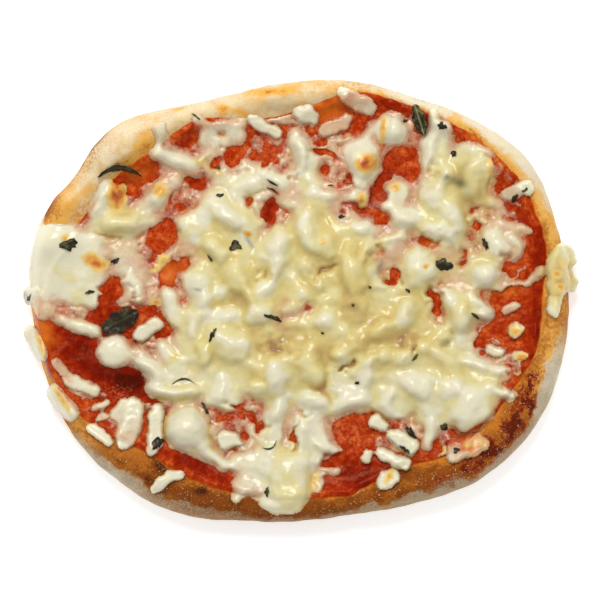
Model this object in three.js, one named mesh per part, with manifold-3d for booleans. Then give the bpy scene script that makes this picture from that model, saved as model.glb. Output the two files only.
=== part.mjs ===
// A small oval margherita pizza, lying flat: a hand-stretched dough base with a raised rim, tomato sauce
// in its dish, a heap of melted mozzarella shreds fused into one mass, loose shreds beside it, and basil.
// Millimetres, +Z up. The origin is on the table, under the middle of the pizza. Angles are in degrees,
// counter-clockwise from +X.
import * as THREE from "three";
import { mergeVertices } from "three/addons/utils/BufferGeometryUtils.js";
import Module from "manifold-3d";

const wasm = await Module();
wasm.setup();

// ---------------------------------------------------------------- driving dimensions

const GAP = 0.3; // left between two pieces that rest on each other
const FLOOR = 8.0; // top of the dough under the sauce, at the middle
const FLOOR_RISE = 1.2; // how much higher the dough is where the sauce ends
const UNDERCUT = 5.0; // how far the rim bulges out past the flat underside
const BELLY = 0.42; // height of the widest line of the rim, as a share of its crest's height
const SLOPE_REACH = 5.0; // how far the rim's inner slope runs in under the sauce
const CREST_SHARE = 0.55; // the crest's distance in from the outline, as a share of the bare rim's width
const CREST_INSET = [3.2, 7.5]; // and its least and most
const SAUCE = 1.3; // thickness of the sauce
const SAUCE_EDGE = 0.4; // and at its edge

// The rim at every RIM_STEP degrees: [outline radius, width of rim left bare by the sauce, crest height].
const RIM_STEP = 15;
const RIM = [
  [69.4, 6.3, 13.2], // 0, the right end
  [69.0, 4.8, 13.4],
  [69.4, 7.2, 13.8],
  [65.0, 5.0, 13.8],
  [60.2, 2.2, 13.2], // 60
  [58.4, 3.4, 13.2],
  [56.5, 7.6, 13.8], // 90, the far side
  [55.8, 7.0, 13.4],
  [58.1, 5.8, 14.4], // 120
  [65.0, 11.5, 17.0],
  [67.2, 8.4, 15.6],
  [69.8, 8.0, 12.6],
  [69.6, 2.6, 10.8], // 180, the left end
  [68.6, 2.8, 10.8],
  [68.2, 6.2, 12.2],
  [66.2, 11.2, 13.2],
  [63.5, 10.4, 13.2], // 240
  [59.0, 7.6, 13.0],
  [57.0, 6.0, 12.8], // 270, the near side
  [57.2, 5.8, 12.8],
  [60.5, 7.4, 13.2], // 300
  [65.4, 8.2, 13.6],
  [68.7, 10.6, 13.8],
  [69.4, 7.6, 13.6],
];
const PINCH = { angle: 151, width: 3.5, depth: 1.6 }; // the nick between the two bulges of the rim

// Bubbles and dents of the dough's top: [x, y, radius, height].
const BUBBLES = [
  [-50, 41, 9, 1.4],
  [-61, 25, 5, 1.2],
  [-36, 46, 5, 0.8],
  [-6, 52, 4.5, 1.4],
  [-6, 47.5, 3.4, -1.0],
  [12, 54.5, 5, 0.7],
  [57, 36, 6, 0.8],
  [66.5, -4, 5, 0.9],
  [57, -30, 6, 0.9],
  [42, -43, 6, 0.8],
  [22, -50, 6, 0.7],
  [-36, -44, 5, 0.9],
  [-50, -38, 5, 0.7],
];

const BROAD = 7; // strands wider than this have more sides
const UNEVENNESS = 0.14; // how far a strand's width and height swell and shrink, as a share
const STEEPNESS = 0.6; // exponent of a strand's dome: the lower, the steeper its sides
const SUNK = 0.25; // how deep a strand's widest line is sunk into what it lies on
const ROOT = 2; // and its lower half
const DEEP = 5; // depth below the table of the solid that cuts the cheese's underside

const TOLERANCE = 0.2; // how far the melted cheese's surface may move when its triangles are thinned out
const LOOSE_TOLERANCE = 0.06; // and that of the loose pieces
const LEAST_COSINE = 0.6; // of the angle that a triangle may turn by then
const NEEDLE = 0.12; // height of the thinnest triangle left
const LENGTH_WEIGHT = 0.02; // how much a short slide is preferred
const PASSES = 40; // the most rounds of taking vertices out

// Segments round the pizza in its outer rings; the inner rings have half and a quarter as many.
const SEGMENTS = 80;
const UNDERSIDE_RINGS = [[0.34, 4], [0.7, 2], [1, 1]]; // [share of the flat underside, coarseness]
const LOWER_ARC = [0.3, 0.62, 1]; // heights on the way up to the widest line, as shares of its arc
const BARE_RIM = [0.05, 0.2, 0.45, 0.72, 1]; // rings on the bare rim, as shares of its width
const DISH_RINGS = [[0.93, 1], [0.84, 1], [0.7, 2], [0.52, 2], [0.34, 4], [0.17, 4]];

// ---------------------------------------------------------------- the dough's shape

const radians = THREE.MathUtils.degToRad;
const smooth = THREE.MathUtils.smoothstep;
const clamp = THREE.MathUtils.clamp;

// A column of RIM at any angle, by a closed Catmull-Rom curve through its rows.
function rimColumn(column, angle) {
  const place = THREE.MathUtils.euclideanModulo(angle, 360) / RIM_STEP;
  const row = Math.floor(place);
  const t = place - row;
  const [a, b, c, d] = [-1, 0, 1, 2].map((k) => RIM[(row + k + RIM.length) % RIM.length][column]);
  return b + 0.5 * t * (c - a + t * (2 * a - 5 * b + 4 * c - d + t * (3 * (b - c) + d - a)));
}

function rimAt(angle) {
  const off = THREE.MathUtils.euclideanModulo(angle - PINCH.angle + 180, 360) - 180;
  const pinch = PINCH.depth * Math.exp(-((off / PINCH.width) ** 2));
  const bare = rimColumn(1, angle);
  return {
    outline: rimColumn(0, angle) - pinch,
    bare,
    crest: rimColumn(2, angle) - pinch,
    crestInset: clamp(CREST_SHARE * bare, ...CREST_INSET),
  };
}

function bubbleHeight(x, y) {
  let height = 0;
  for (const [bx, by, radius, rise] of BUBBLES) {
    height += rise * Math.exp(-((x - bx) ** 2 + (y - by) ** 2) / radius ** 2);
  }
  return height;
}

// Height of the dough's top at an angle and a distance in from its outline.
function doughTop(angle, inset) {
  const rim = rimAt(angle);
  const radius = rim.outline - inset;
  const x = radius * Math.cos(radians(angle));
  const y = radius * Math.sin(radians(angle));
  const belly = BELLY * rim.crest;
  const unevenness = 0.3 * Math.sin(0.16 * x + 1) * Math.cos(0.19 * y) + 0.2 * Math.sin(0.31 * x - 0.27 * y);
  if (inset < rim.crestInset) {
    const across = Math.sqrt(Math.max(0, 1 - (1 - inset / rim.crestInset) ** 2));
    return belly + (rim.crest - belly) * across + bubbleHeight(x, y) * across;
  }
  const reach = rim.bare + SLOPE_REACH;
  const floor = FLOOR + FLOOR_RISE * (radius / (rim.outline - rim.bare)) ** 4 + unevenness;
  return THREE.MathUtils.lerp(rim.crest, floor, smooth(inset, rim.crestInset, reach)) + bubbleHeight(x, y);
}

// Thickness of the sauce at a share of the way from the middle, 0, to its edge, 1.
const sauceThickness = (share) => SAUCE_EDGE + (SAUCE - SAUCE_EDGE) * (1 - share ** 8);

// Height of what the cheese lies on, at any point: the sauce, or the bare rim outside it.
function bedHeight(x, y) {
  const angle = THREE.MathUtils.radToDeg(Math.atan2(y, x));
  const rim = rimAt(angle);
  const radius = Math.min(Math.hypot(x, y), rim.outline - 0.5);
  const share = radius / (rim.outline - rim.bare);
  const sauce = share < 1 ? GAP + sauceThickness(share) : 0;
  return doughTop(angle, rim.outline - radius) + sauce;
}

// ---------------------------------------------------------------- closed meshes from rings

// A ring of points at each segment angle; radius and height are functions of the angle in degrees.
function ring(coarseness, radius, height) {
  const count = SEGMENTS / coarseness;
  return Array.from({ length: count }, (_, i) => {
    const angle = (360 * i) / count;
    const r = radius(angle);
    return [r * Math.cos(radians(angle)), r * Math.sin(radians(angle)), height(angle)];
  });
}

// Joins rings, in order from the underside's middle out and over to the top's middle, into a closed mesh.
// Each ring has as many points as the next, or twice or half as many; the first and last are single points.
function closedMesh(rings) {
  const starts = [];
  const points = rings.flatMap((r) => {
    starts.push(starts.length ? starts.at(-1) + rings[starts.length - 1].length : 0);
    return r;
  });
  const faces = [];
  for (let k = 0; k + 1 < rings.length; k++) {
    const [inner, outer] = [rings[k].length, rings[k + 1].length];
    const a = (i) => starts[k] + (i % inner);
    const b = (i) => starts[k + 1] + (i % outer);
    const outwards = Math.hypot(...rings[k + 1][0].slice(0, 2)) > Math.hypot(...rings[k][0].slice(0, 2));
    for (let i = 0; i < Math.max(inner, outer); i++) {
      if (inner === 1) faces.push([a(0), b(i + 1), b(i)]);
      else if (outer === 1) faces.push([a(i), a(i + 1), b(0)]);
      else if (inner === outer && outwards) faces.push([a(i), a(i + 1), b(i)], [a(i + 1), b(i + 1), b(i)]);
      else if (inner === outer) faces.push([a(i), a(i + 1), b(i + 1)], [a(i), b(i + 1), b(i)]);
      else if (inner < outer && i < inner) {
        faces.push([a(i), b(2 * i + 1), b(2 * i)], [a(i), a(i + 1), b(2 * i + 1)]);
        faces.push([a(i + 1), b(2 * i + 2), b(2 * i + 1)]);
      } else if (inner > outer && i < outer) {
        faces.push([a(2 * i), a(2 * i + 1), b(i)], [a(2 * i + 1), b(i + 1), b(i)]);
        faces.push([a(2 * i + 1), a(2 * i + 2), b(i + 1)]);
      }
    }
  }
  const geometry = new THREE.BufferGeometry();
  geometry.setAttribute("position", new THREE.Float32BufferAttribute(points.flat(), 3));
  geometry.setIndex(faces.flat());
  return geometry;
}

// The rings of the dough's side and top, from the widest line in. `grow` moves them all outwards.
function doughTopRings(grow = 0) {
  const bare = BARE_RIM.map((share) =>
    ring(
      1,
      (angle) => rimAt(angle).outline - share * rimAt(angle).bare + grow * (1 - share),
      (angle) => doughTop(angle, share * rimAt(angle).bare) + grow * Math.min(1, 0.3 + share),
    ),
  );
  return [...bare, ...dishRings(() => grow)];
}

// The rings inside the sauce's edge, at the dough's top plus a rise that depends on the share of the radius.
function dishRings(rise) {
  const rings = DISH_RINGS.map(([share, coarseness]) =>
    ring(
      coarseness,
      (angle) => share * (rimAt(angle).outline - rimAt(angle).bare),
      (angle) => {
        const rim = rimAt(angle);
        return doughTop(angle, rim.outline - share * (rim.outline - rim.bare)) + rise(share);
      },
    ),
  );
  return [...rings, [[0, 0, doughTop(0, rimAt(0).outline) + rise(0)]]];
}

function doughGeometry() {
  const underside = UNDERSIDE_RINGS.map(([share, coarseness]) =>
    ring(coarseness, (angle) => share * (rimAt(angle).outline - UNDERCUT), () => 0),
  );
  const belly = (angle) => BELLY * rimAt(angle).crest;
  const lower = LOWER_ARC.map((share) =>
    ring(
      1,
      (angle) => rimAt(angle).outline - UNDERCUT * (1 - Math.sin((share * Math.PI) / 2)),
      (angle) => belly(angle) * (1 - Math.cos((share * Math.PI) / 2)),
    ),
  );
  return closedMesh([[[0, 0, 0]], ...underside, ...lower, ...doughTopRings()]);
}

function sauceGeometry() {
  const edge = (rise) =>
    ring(
      1,
      (angle) => rimAt(angle).outline - rimAt(angle).bare,
      (angle) => doughTop(angle, rimAt(angle).bare) + rise,
    );
  const underside = [edge(GAP), ...dishRings(() => GAP)].reverse();
  const top = [edge(GAP + SAUCE_EDGE), ...dishRings((share) => GAP + sauceThickness(share))];
  return closedMesh([...underside, ...top]);
}

// Everything below the surface that the cheese may rest on, raised by GAP, to cut its underside.
function bedGeometry() {
  const level = (coarseness, radius) => ring(coarseness, radius, () => -DEEP);
  const bottom = UNDERSIDE_RINGS.map(([share, coarseness]) =>
    level(coarseness, (angle) => share * (rimAt(angle).outline - UNDERCUT)),
  );
  const outside = (angle) => rimAt(angle).outline + GAP;
  const belly = ring(1, outside, (angle) => BELLY * rimAt(angle).crest);
  const edge = BARE_RIM.length - 1;
  const top = doughTopRings(GAP).map((points, k) => {
    if (k < edge) return points;
    const share = k === edge ? 1 : (DISH_RINGS[k - edge - 1] ?? [0])[0];
    return points.map(([x, y, z]) => [x, y, z + GAP + sauceThickness(share)]);
  });
  return closedMesh([[[0, 0, -DEEP]], ...bottom, level(1, outside), belly, ...top]);
}

// ---------------------------------------------------------------- solids

// Only the positions of a geometry, with shared vertices merged.
function bare(geometry) {
  geometry.deleteAttribute("normal");
  geometry.deleteAttribute("uv");
  return mergeVertices(geometry, 1e-3);
}

function solidFrom(geometry) {
  return new wasm.Manifold(
    new wasm.Mesh({
      numProp: 3,
      vertProperties: new Float32Array(geometry.attributes.position.array),
      triVerts: new Uint32Array(geometry.index.array),
    }),
  );
}

function geometryFrom(solid) {
  const mesh = solid.getMesh();
  const geometry = new THREE.BufferGeometry();
  geometry.setAttribute("position", new THREE.BufferAttribute(mesh.vertProperties, 3));
  geometry.setIndex(new THREE.BufferAttribute(mesh.triVerts, 1));
  return geometry;
}

// A sum of soft waves in place of chance, so that no two strands have the same unevenness.
const uneven = (u, seed) => 0.6 * Math.sin(2.3 * u + 1.7 * seed) + 0.4 * Math.sin(4.1 * u - 2.9 * seed);

// A strand of cheese melted on to its bed: a capsule whose upper half is pressed into a dome with steep
// sides, bent and set down, and whose lower half is sunk into the bed, which is cut away later.
// row is [x, y, length, width, turn, height, bend, lift]; bend is the sideways sag of its middle.
function strandSolid(row, seed) {
  const [x, y, long, wide, turn, high, bend = 0, lift = 0] = row;
  const radius = wide / 2;
  const straight = Math.max(long - wide, 0.1 * wide);
  const geometry = new THREE.CapsuleGeometry(radius, straight, 2, wide > BROAD ? 8 : 6, bend ? 3 : 1);
  geometry.rotateZ(-Math.PI / 2);
  const merged = bare(geometry);
  const position = merged.attributes.position;
  const [cos, sin] = [Math.cos(radians(turn)), Math.sin(radians(turn))];
  for (let i = 0; i < position.count; i++) {
    const along = position.getX(i);
    const share = (2 * along) / (straight + wide);
    const width = 1 + UNEVENNESS * uneven(2 * share + Math.sign(position.getY(i)), seed);
    const across = position.getY(i) * width + bend * (1 - share ** 2);
    const [px, py] = [x + along * cos - across * sin, y + along * sin + across * cos];
    const up = position.getZ(i) / radius;
    const swell = 1 + UNEVENNESS * uneven(share + 5, seed);
    let rise = lift - SUNK;
    if (up > 0.01) rise = lift + high * swell * up ** STEEPNESS;
    else if (up < -0.01) rise = -ROOT;
    position.setXYZ(i, px, py, bedHeight(px, py) + rise);
  }
  return solidFrom(merged);
}

// The same solid with fewer triangles. It takes out each vertex whose removal moves the surface less than
// `tolerance`, by sliding it along an edge on to its neighbour, the least move first.
function simplified(solid, tolerance) {
  const mesh = solid.getMesh();
  const points = Array.from({ length: mesh.vertProperties.length / 3 }, (_, i) =>
    new THREE.Vector3().fromArray(mesh.vertProperties, 3 * i));
  const faces = Array.from({ length: mesh.triVerts.length / 3 }, (_, i) =>
    [...mesh.triVerts.slice(3 * i, 3 * i + 3)]);
  const facesOf = points.map(() => new Set());
  faces.forEach((face, f) => face.forEach((v) => facesOf[v].add(f)));
  const moved = points.map(() => 0); // how far the surface has moved at each vertex so far

  const [ab, ac] = [new THREE.Vector3(), new THREE.Vector3()];
  const normalOf = ([a, b, c]) =>
    ab.subVectors(points[b], points[a]).cross(ac.subVectors(points[c], points[a])).clone();
  const between = (v, w) => points[v].distanceTo(points[w]);
  const longest = ([a, b, c]) => Math.max(between(a, b), between(b, c), between(c, a));
  const neighbours = (v) => new Set([...facesOf[v]].flatMap((f) => faces[f]).filter((w) => w !== v));

  // The distance that the surface moves if vertex v slides to w, or Infinity if it may not.
  function costOf(v, w) {
    let cost = 0;
    for (const f of facesOf[v]) {
      const face = faces[f];
      const before = normalOf(face);
      const size = before.length();
      const step = Math.abs(ab.subVectors(points[w], points[v]).dot(before));
      if (size > 1e-9) cost = Math.max(cost, step / size);
      if (cost + moved[v] > tolerance) return Infinity;
      if (face.includes(w)) continue;
      const slid = face.map((u) => (u === v ? w : u));
      const after = normalOf(slid);
      const turned = after.dot(before) < LEAST_COSINE * after.length() * size;
      const needle = after.length() / longest(slid) < Math.min(NEEDLE, size / longest(face));
      if (turned || needle) return Infinity;
    }
    const shared = [...neighbours(v)].filter((u) => neighbours(w).has(u));
    return shared.length === 2 ? cost : Infinity;
  }

  for (let pass = 0; pass < PASSES; pass++) {
    const slides = [];
    for (const [v, own] of facesOf.entries()) {
      if (!own.size) continue;
      for (const w of neighbours(v)) {
        const cost = costOf(v, w);
        if (cost < Infinity) slides.push([cost + LENGTH_WEIGHT * between(v, w), v, w]);
      }
    }
    slides.sort((one, other) => one[0] - other[0]);
    const touched = new Set();
    for (const [, v, w] of slides) {
      if (touched.has(v) || touched.has(w)) continue;
      const cost = costOf(v, w);
      if (cost === Infinity) continue;
      for (const u of neighbours(v)) touched.add(u);
      for (const f of facesOf[v]) {
        if (faces[f].includes(w)) {
          for (const u of faces[f]) if (u !== v) facesOf[u].delete(f);
        } else {
          faces[f] = faces[f].map((u) => (u === v ? w : u));
          facesOf[w].add(f);
        }
      }
      facesOf[v].clear();
      moved[w] = Math.max(moved[w], moved[v] + cost);
    }
    if (!slides.length) break;
  }

  const kept = [...new Set(facesOf.flatMap((own) => [...own]))].map((f) => faces[f]);
  const geometry = new THREE.BufferGeometry();
  geometry.setAttribute("position", new THREE.Float32BufferAttribute(points.flatMap((p) => p.toArray()), 3));
  geometry.setIndex(kept.flat());
  return mergeVertices(geometry.toNonIndexed(), 1e-5);
}

// ---------------------------------------------------------------- where the cheese lies

// Each strand or lobe is [x, y, length, width, turn, height, bend, lift]: the place of its middle, its size,
// the angle of its length, its height above what it lies on, the sideways sag of its middle, and how far it
// is lifted by the cheese under it. Bend and lift may be left out.

// Broad melted lobes of the main mass.
const LOBES = [
  // the left end
  [-60.5, 13.5, 17, 12, 8, 3.0],
  [-58.5, 5.5, 19, 12, -4, 3.0],
  [-66.0, 15.0, 9, 7.5, 60, 3.4],
  [-50.5, 21.5, 17, 8.5, 62, 2.6],
  [-44.0, 9.5, 17, 10, -70, 2.2],
  [-37.0, 7.6, 8, 7.2, 10, 1.6],
  [-52.8, 11.0, 11, 8, 80, 2.6],
  [-42.4, 23.8, 9, 7, 10, 1.6],
  [-65.2, 1.4, 6, 4.4, 80, 2.4],
  [-48.8, 15.6, 6, 4.4, 30, 2.2],
  [-47.8, -13.2, 9.4, 8.6, 0, 4.4],
  // the far left
  [-37.5, 23.5, 11, 9, 60, 2.6],
  [-20.0, 42.0, 14, 9.6, 5, 2.4],
  [-13.0, 31.0, 20, 9.4, -5, 2.8],
  [-18.5, 23.0, 17, 11, -20, 3.4],
  [-28.5, 17.5, 12, 9, -50, 2.4],
  [-25.4, 20.4, 10, 7.4, -30, 2.8],
  [-22.2, 17.2, 7.4, 5.4, 30, 2.8],
  [-25.0, 5.0, 12, 11, 0, 4.4],
  [-25.4, -3.4, 11, 8.5, 80, 3.2],
  // the middle
  [-18.5, 11.0, 15, 12, -60, 3.4],
  [-6.5, 11.0, 14, 13, -60, 3.6],
  [-14.0, -3.0, 20, 16, 10, 3.6],
  [-21.0, -15.0, 18, 14, -20, 3.6],
  [-14.4, 13.6, 10, 8, 0, 3.0],
  [-11.4, 8.0, 7, 6, 0, 2.8],
  [-5.0, 1.4, 10, 9, 0, 3.2],
  [-9.4, -11.0, 10, 9, 0, 3.2],
  [-7.0, -19.0, 20, 15, 0, 3.6],
  [4.0, 6.0, 20, 17, 0, 3.4],
  [2.0, -9.0, 22, 16, 0, 3.4],
  [8.0, 27.0, 18, 9.5, -10, 2.8],
  [12.0, 18.0, 16, 8, 0, 2.8],
  [15.0, 6.0, 16, 12, -80, 3.8],
  [14.0, -8.0, 20, 15, 0, 3.8],
  [20.6, 0.6, 11, 7.4, 0, 3.4],
  [9.0, -20.0, 18, 12, 0, 3.4],
  [22.0, 12.5, 11, 7.2, 0, 1.8],
  [31.4, 1.4, 10, 7.4, -30, 3.2],
  [30.5, 8.5, 12, 11.5, 60, 4.2],
  [26.0, -5.0, 18, 15, 0, 3.6],
  [20.5, -19.0, 20, 12, 10, 3.4],
  // the near left and middle
  [-20.0, -24.5, 11, 9, 0, 4.4],
  [-28.6, -33.6, 14, 12.6, -70, 5.6],
  [-3.6, -46.6, 18, 15, 80, 5.4],
  [2.8, -35.6, 17, 9.5, -80, 3.4],
  [-12.5, -41.5, 12, 6.5, 10, 2.8],
  [-12.5, -47.5, 10, 6.5, 0, 2.8],
  // the near right
  [30.0, -14.0, 18, 13, 0, 3.6],
  [29.5, -23.5, 14, 12.5, 0, 4.4],
  [42.5, -26.0, 15, 15, 0, 5.2],
  [35.5, -29.5, 12, 7.5, 10, 3.2],
  [37.0, -11.0, 11, 8, 0, 2.8],
  [37.0, -19.6, 15, 7.4, -5, 3.6],
  [43.8, -11.6, 8, 7.2, 0, 2.2],
  // the far right
  [41.0, -1.0, 10, 9, 0, 3.8],
  [40.5, 7.5, 14, 8, -60, 1.8],
  [37.5, 20.0, 17, 12, -80, 4.4],
  [35.0, 34.0, 22, 8.5, 88, 3.8],
  [43.5, 33.0, 16, 13.5, 80, 5.0],
  [52.0, 15.5, 14, 11, -60, 3.6],
  [47.3, 7.2, 10, 7.5, -45, 4.0],
  [23.4, 43.6, 10.4, 8.5, -15, 4.2],
  [16.0, 36.0, 13.5, 10.5, -70, 4.6],
  [25.0, 26.8, 9.5, 8, 70, 3.8],
  [31.0, 20.6, 16, 7.2, -4, 3.8],
  [49.4, 11.0, 9, 5.4, -60, 3.0],
];

// Narrower strands fused to the main mass.
const STRANDS = [
  // the left end
  [-45.8, 19.4, 13, 6, -3, 4.6],
  [-50.0, 27.2, 8, 4, 65, 3.2],
  [-46.4, 27.0, 7, 4, 75, 3.6],
  [-42.5, 2.2, 8, 6, -60, 2.8],
  [-57.0, 0.2, 15, 5, -6, 2.4],
  [-66.8, -1.6, 9, 4.8, -74, 2.4],
  [-57.0, -6.5, 12.6, 4.4, -20, 2.8],
  [-63.3, -2.8, 6, 3.6, -60, 2.2],
  [-45.0, 0.8, 5.6, 3.8, 45, 2.2],
  [-41.8, -13.8, 7, 4.4, 5, 3.0],
  [-38.2, -17.0, 13, 5.4, -45, 3.4],
  [-33.4, -14.2, 12, 4.8, -48, 4.0],
  [-32.0, -22.6, 15.5, 3.6, -3, 4.0, -1.2],
  [-32.2, -2.6, 13.5, 5.2, -68, 4.2],
  [-28.4, -9.0, 15, 6.6, -75, 3.6],
  [-30.2, -12.4, 9, 5, -60, 2.4],
  [-29.6, -19.8, 13, 5.8, -8, 2.6],
  [-23.4, -21.6, 7, 5, 0, 2.8],
  [-22.6, -7.0, 5, 4.4, 0, 2.8],
  // the far left
  [-33.4, 11.4, 8.5, 4.6, 0, 2.4],
  [-29.6, 13.0, 8, 4.4, -30, 2.0],
  [-36.5, 26.6, 8, 6, 35, 3.8],
  [-33.6, 30.2, 8, 6.4, 20, 3.8],
  [-32.6, 36.2, 13, 5.6, -14, 3.0],
  [-35.6, 41.6, 9, 4.4, 84, 2.4],
  [-26.4, 34.0, 9, 4.6, -8, 2.2],
  [-23.4, 37.4, 8, 4.2, 20, 2.2],
  [-23.6, 34.2, 8, 3.6, -60, 2.2],
  [-25.0, 45.4, 7, 3.4, -36, 2.0],
  [-17.0, 34.6, 8, 3.0, 40, 2.2],
  [-9.6, 34.4, 7, 3.0, 60, 2.2],
  [-16.6, 19.6, 14, 6.6, -35, 4.2, 0.8, 0.8],
  [-22.4, 13.0, 5, 4.4, 20, 3.0, 0, 1.4],
  [-11.0, 21.0, 7, 3.0, -52, 2.8],
  [-5.4, 14.6, 7, 6.4, 40, 3.6, 0, 1.6],
  [-2.4, 26.0, 9, 7, -10, 2.8],
  [-4.6, 18.2, 8, 4, 10, 2.4],
  [-3.4, 30.4, 7, 4.4, 60, 2.6],
  [-1.0, 29.2, 5, 4.4, 0, 2.6],
  [3.4, 22.8, 11, 6, 0, 2.8],
  [3.8, 18.4, 6.4, 5.4, 0, 2.8],
  [11.2, 23.2, 9, 4, -10, 2.4],
  [0.9, 38.2, 13, 6.2, -62, 4.4],
  [2.2, 30.8, 9, 7, -30, 3.0],
  [5.4, 38.0, 8, 3.0, -30, 2.0],
  // the middle
  [-15.6, 7.4, 15, 7.4, -62, 3.8, 0, 1.4],
  [-10.6, 4.0, 9, 4.6, 40, 3.2, 0, 1.6],
  [-17.2, -11.4, 9, 8, -30, 4.0, 0, 1.2],
  [-24.4, -14.2, 8, 5.4, 80, 3.8, 0, 0.8],
  [-11.2, -3.4, 8, 5.6, 10, 3.4, 0, 1.6],
  [-6.6, -18.6, 9, 6, -80, 4.0, 0, 1.4],
  [3.2, -17.0, 12, 6.6, -56, 4.2, 0, 1.2],
  [1.0, 15.4, 12, 6.4, -72, 4.6, 0, 1.4],
  [5.2, 13.8, 8, 5, 60, 4.2, 0, 1.2],
  [6.6, 10.4, 5, 2.2, -12, 3.0, 0, 1.8],
  [8.0, -1.4, 9, 6, 0, 3.0],
  [13.6, -14.4, 9, 6.4, 0, 3.2],
  [-14.0, -21.8, 10, 6, 0, 3.0],
  [21.0, 9.6, 8, 4, -30, 2.2],
  [14.0, 14.2, 11, 4.6, 0, 2.6],
  [13.0, 5.6, 15, 6, -82, 4.4, 0, 1.0],
  [16.6, 11.6, 7, 3.6, 60, 3.4, 0, 1.0],
  [14.2, 18.4, 10, 5.6, 0, 3.8],
  [17.6, 27.6, 9, 4, -125, 2.8],
  [15.6, 29.4, 4.6, 4, 0, 2.4],
  [19.4, 32.0, 8, 3.2, 80, 2.4],
  [24.2, 15.8, 6.5, 3, 18, 3.4],
  [5.0, -26.2, 15, 6, -14, 3.6],
  [12.0, -26.6, 13, 5, 16, 3.8],
  [-6.8, -30.6, 13, 5.6, -112, 3.8],
  [-6.8, -35.8, 8.6, 5.6, -95, 3.0],
  [-12.2, -44.4, 9, 4.6, 0, 2.4],
  [19.0, -26.4, 13, 5.4, -22, 3.2],
  [24.0, -28.0, 9, 4.4, -30, 2.8],
  [8.4, -38.2, 7, 3.6, -38, 3.0],
  [7.2, -43.2, 7.5, 3.8, -12, 3.2],
  // the near left
  [-22.0, -41.0, 10, 3.8, -27, 3.4],
  [-11.2, -34.6, 8, 4, -60, 2.6],
  [-16.0, -50.6, 4, 2.6, 60, 2.2],
  // the near right
  [30.6, -12.2, 9, 4.4, 10, 3.2, 0, 1.6],
  [40.0, -16.0, 13, 5.4, -8, 3.4],
  [48.4, -17.8, 14, 4.4, -14, 3.8],
  [46.2, -19.6, 8, 4, -14, 3.0],
  [51.0, -22.6, 9, 3.6, -30, 3.6],
  [33.2, -34.6, 9, 4, -105, 2.8],
  [24.6, -26.8, 10, 5, -40, 3.4],
  // the far right
  [45.6, -1.8, 10, 4.6, -36, 4.0],
  [41.0, -5.6, 8, 5.6, -84, 4.0],
  [38.0, 1.0, 6, 4.4, -20, 3.6],
  [36.4, 12.6, 7, 5, 0, 2.4],
  [43.6, 11.4, 8, 5.6, -60, 1.9],
  [35.4, -7.2, 8, 4.6, -30, 2.4],
  [54.4, 4.2, 12, 2.8, 4, 2.8, -0.8],
  [61.0, 6.6, 6, 2.6, 52, 2.4],
  [48.8, 25.0, 9, 3.6, -15, 2.6],
  [56.8, 18.6, 9, 2.4, -24, 2.0],
  [34.5, 45.6, 8, 3.4, 84, 2.8],
  [36.8, 43.4, 5, 4, 80, 3.4],
  [18.4, 42.2, 9, 4.6, 50, 2.6],
  [21.0, 24.0, 5.5, 3.2, -20, 3.2],
];

// Short shreds heaped over the middle, drawn by a seeded rule inside an oval: [x, y, half length, half
// width]. Each size is drawn between two values.
const HEAP = {
  oval: [3, -5, 30, 19],
  count: 34,
  long: [6, 10],
  wide: [3.2, 5],
  high: [2.6, 3.6],
  bend: [-1, 1],
  lift: [1.4, 2.6],
};
const SEED = 20260;

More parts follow.
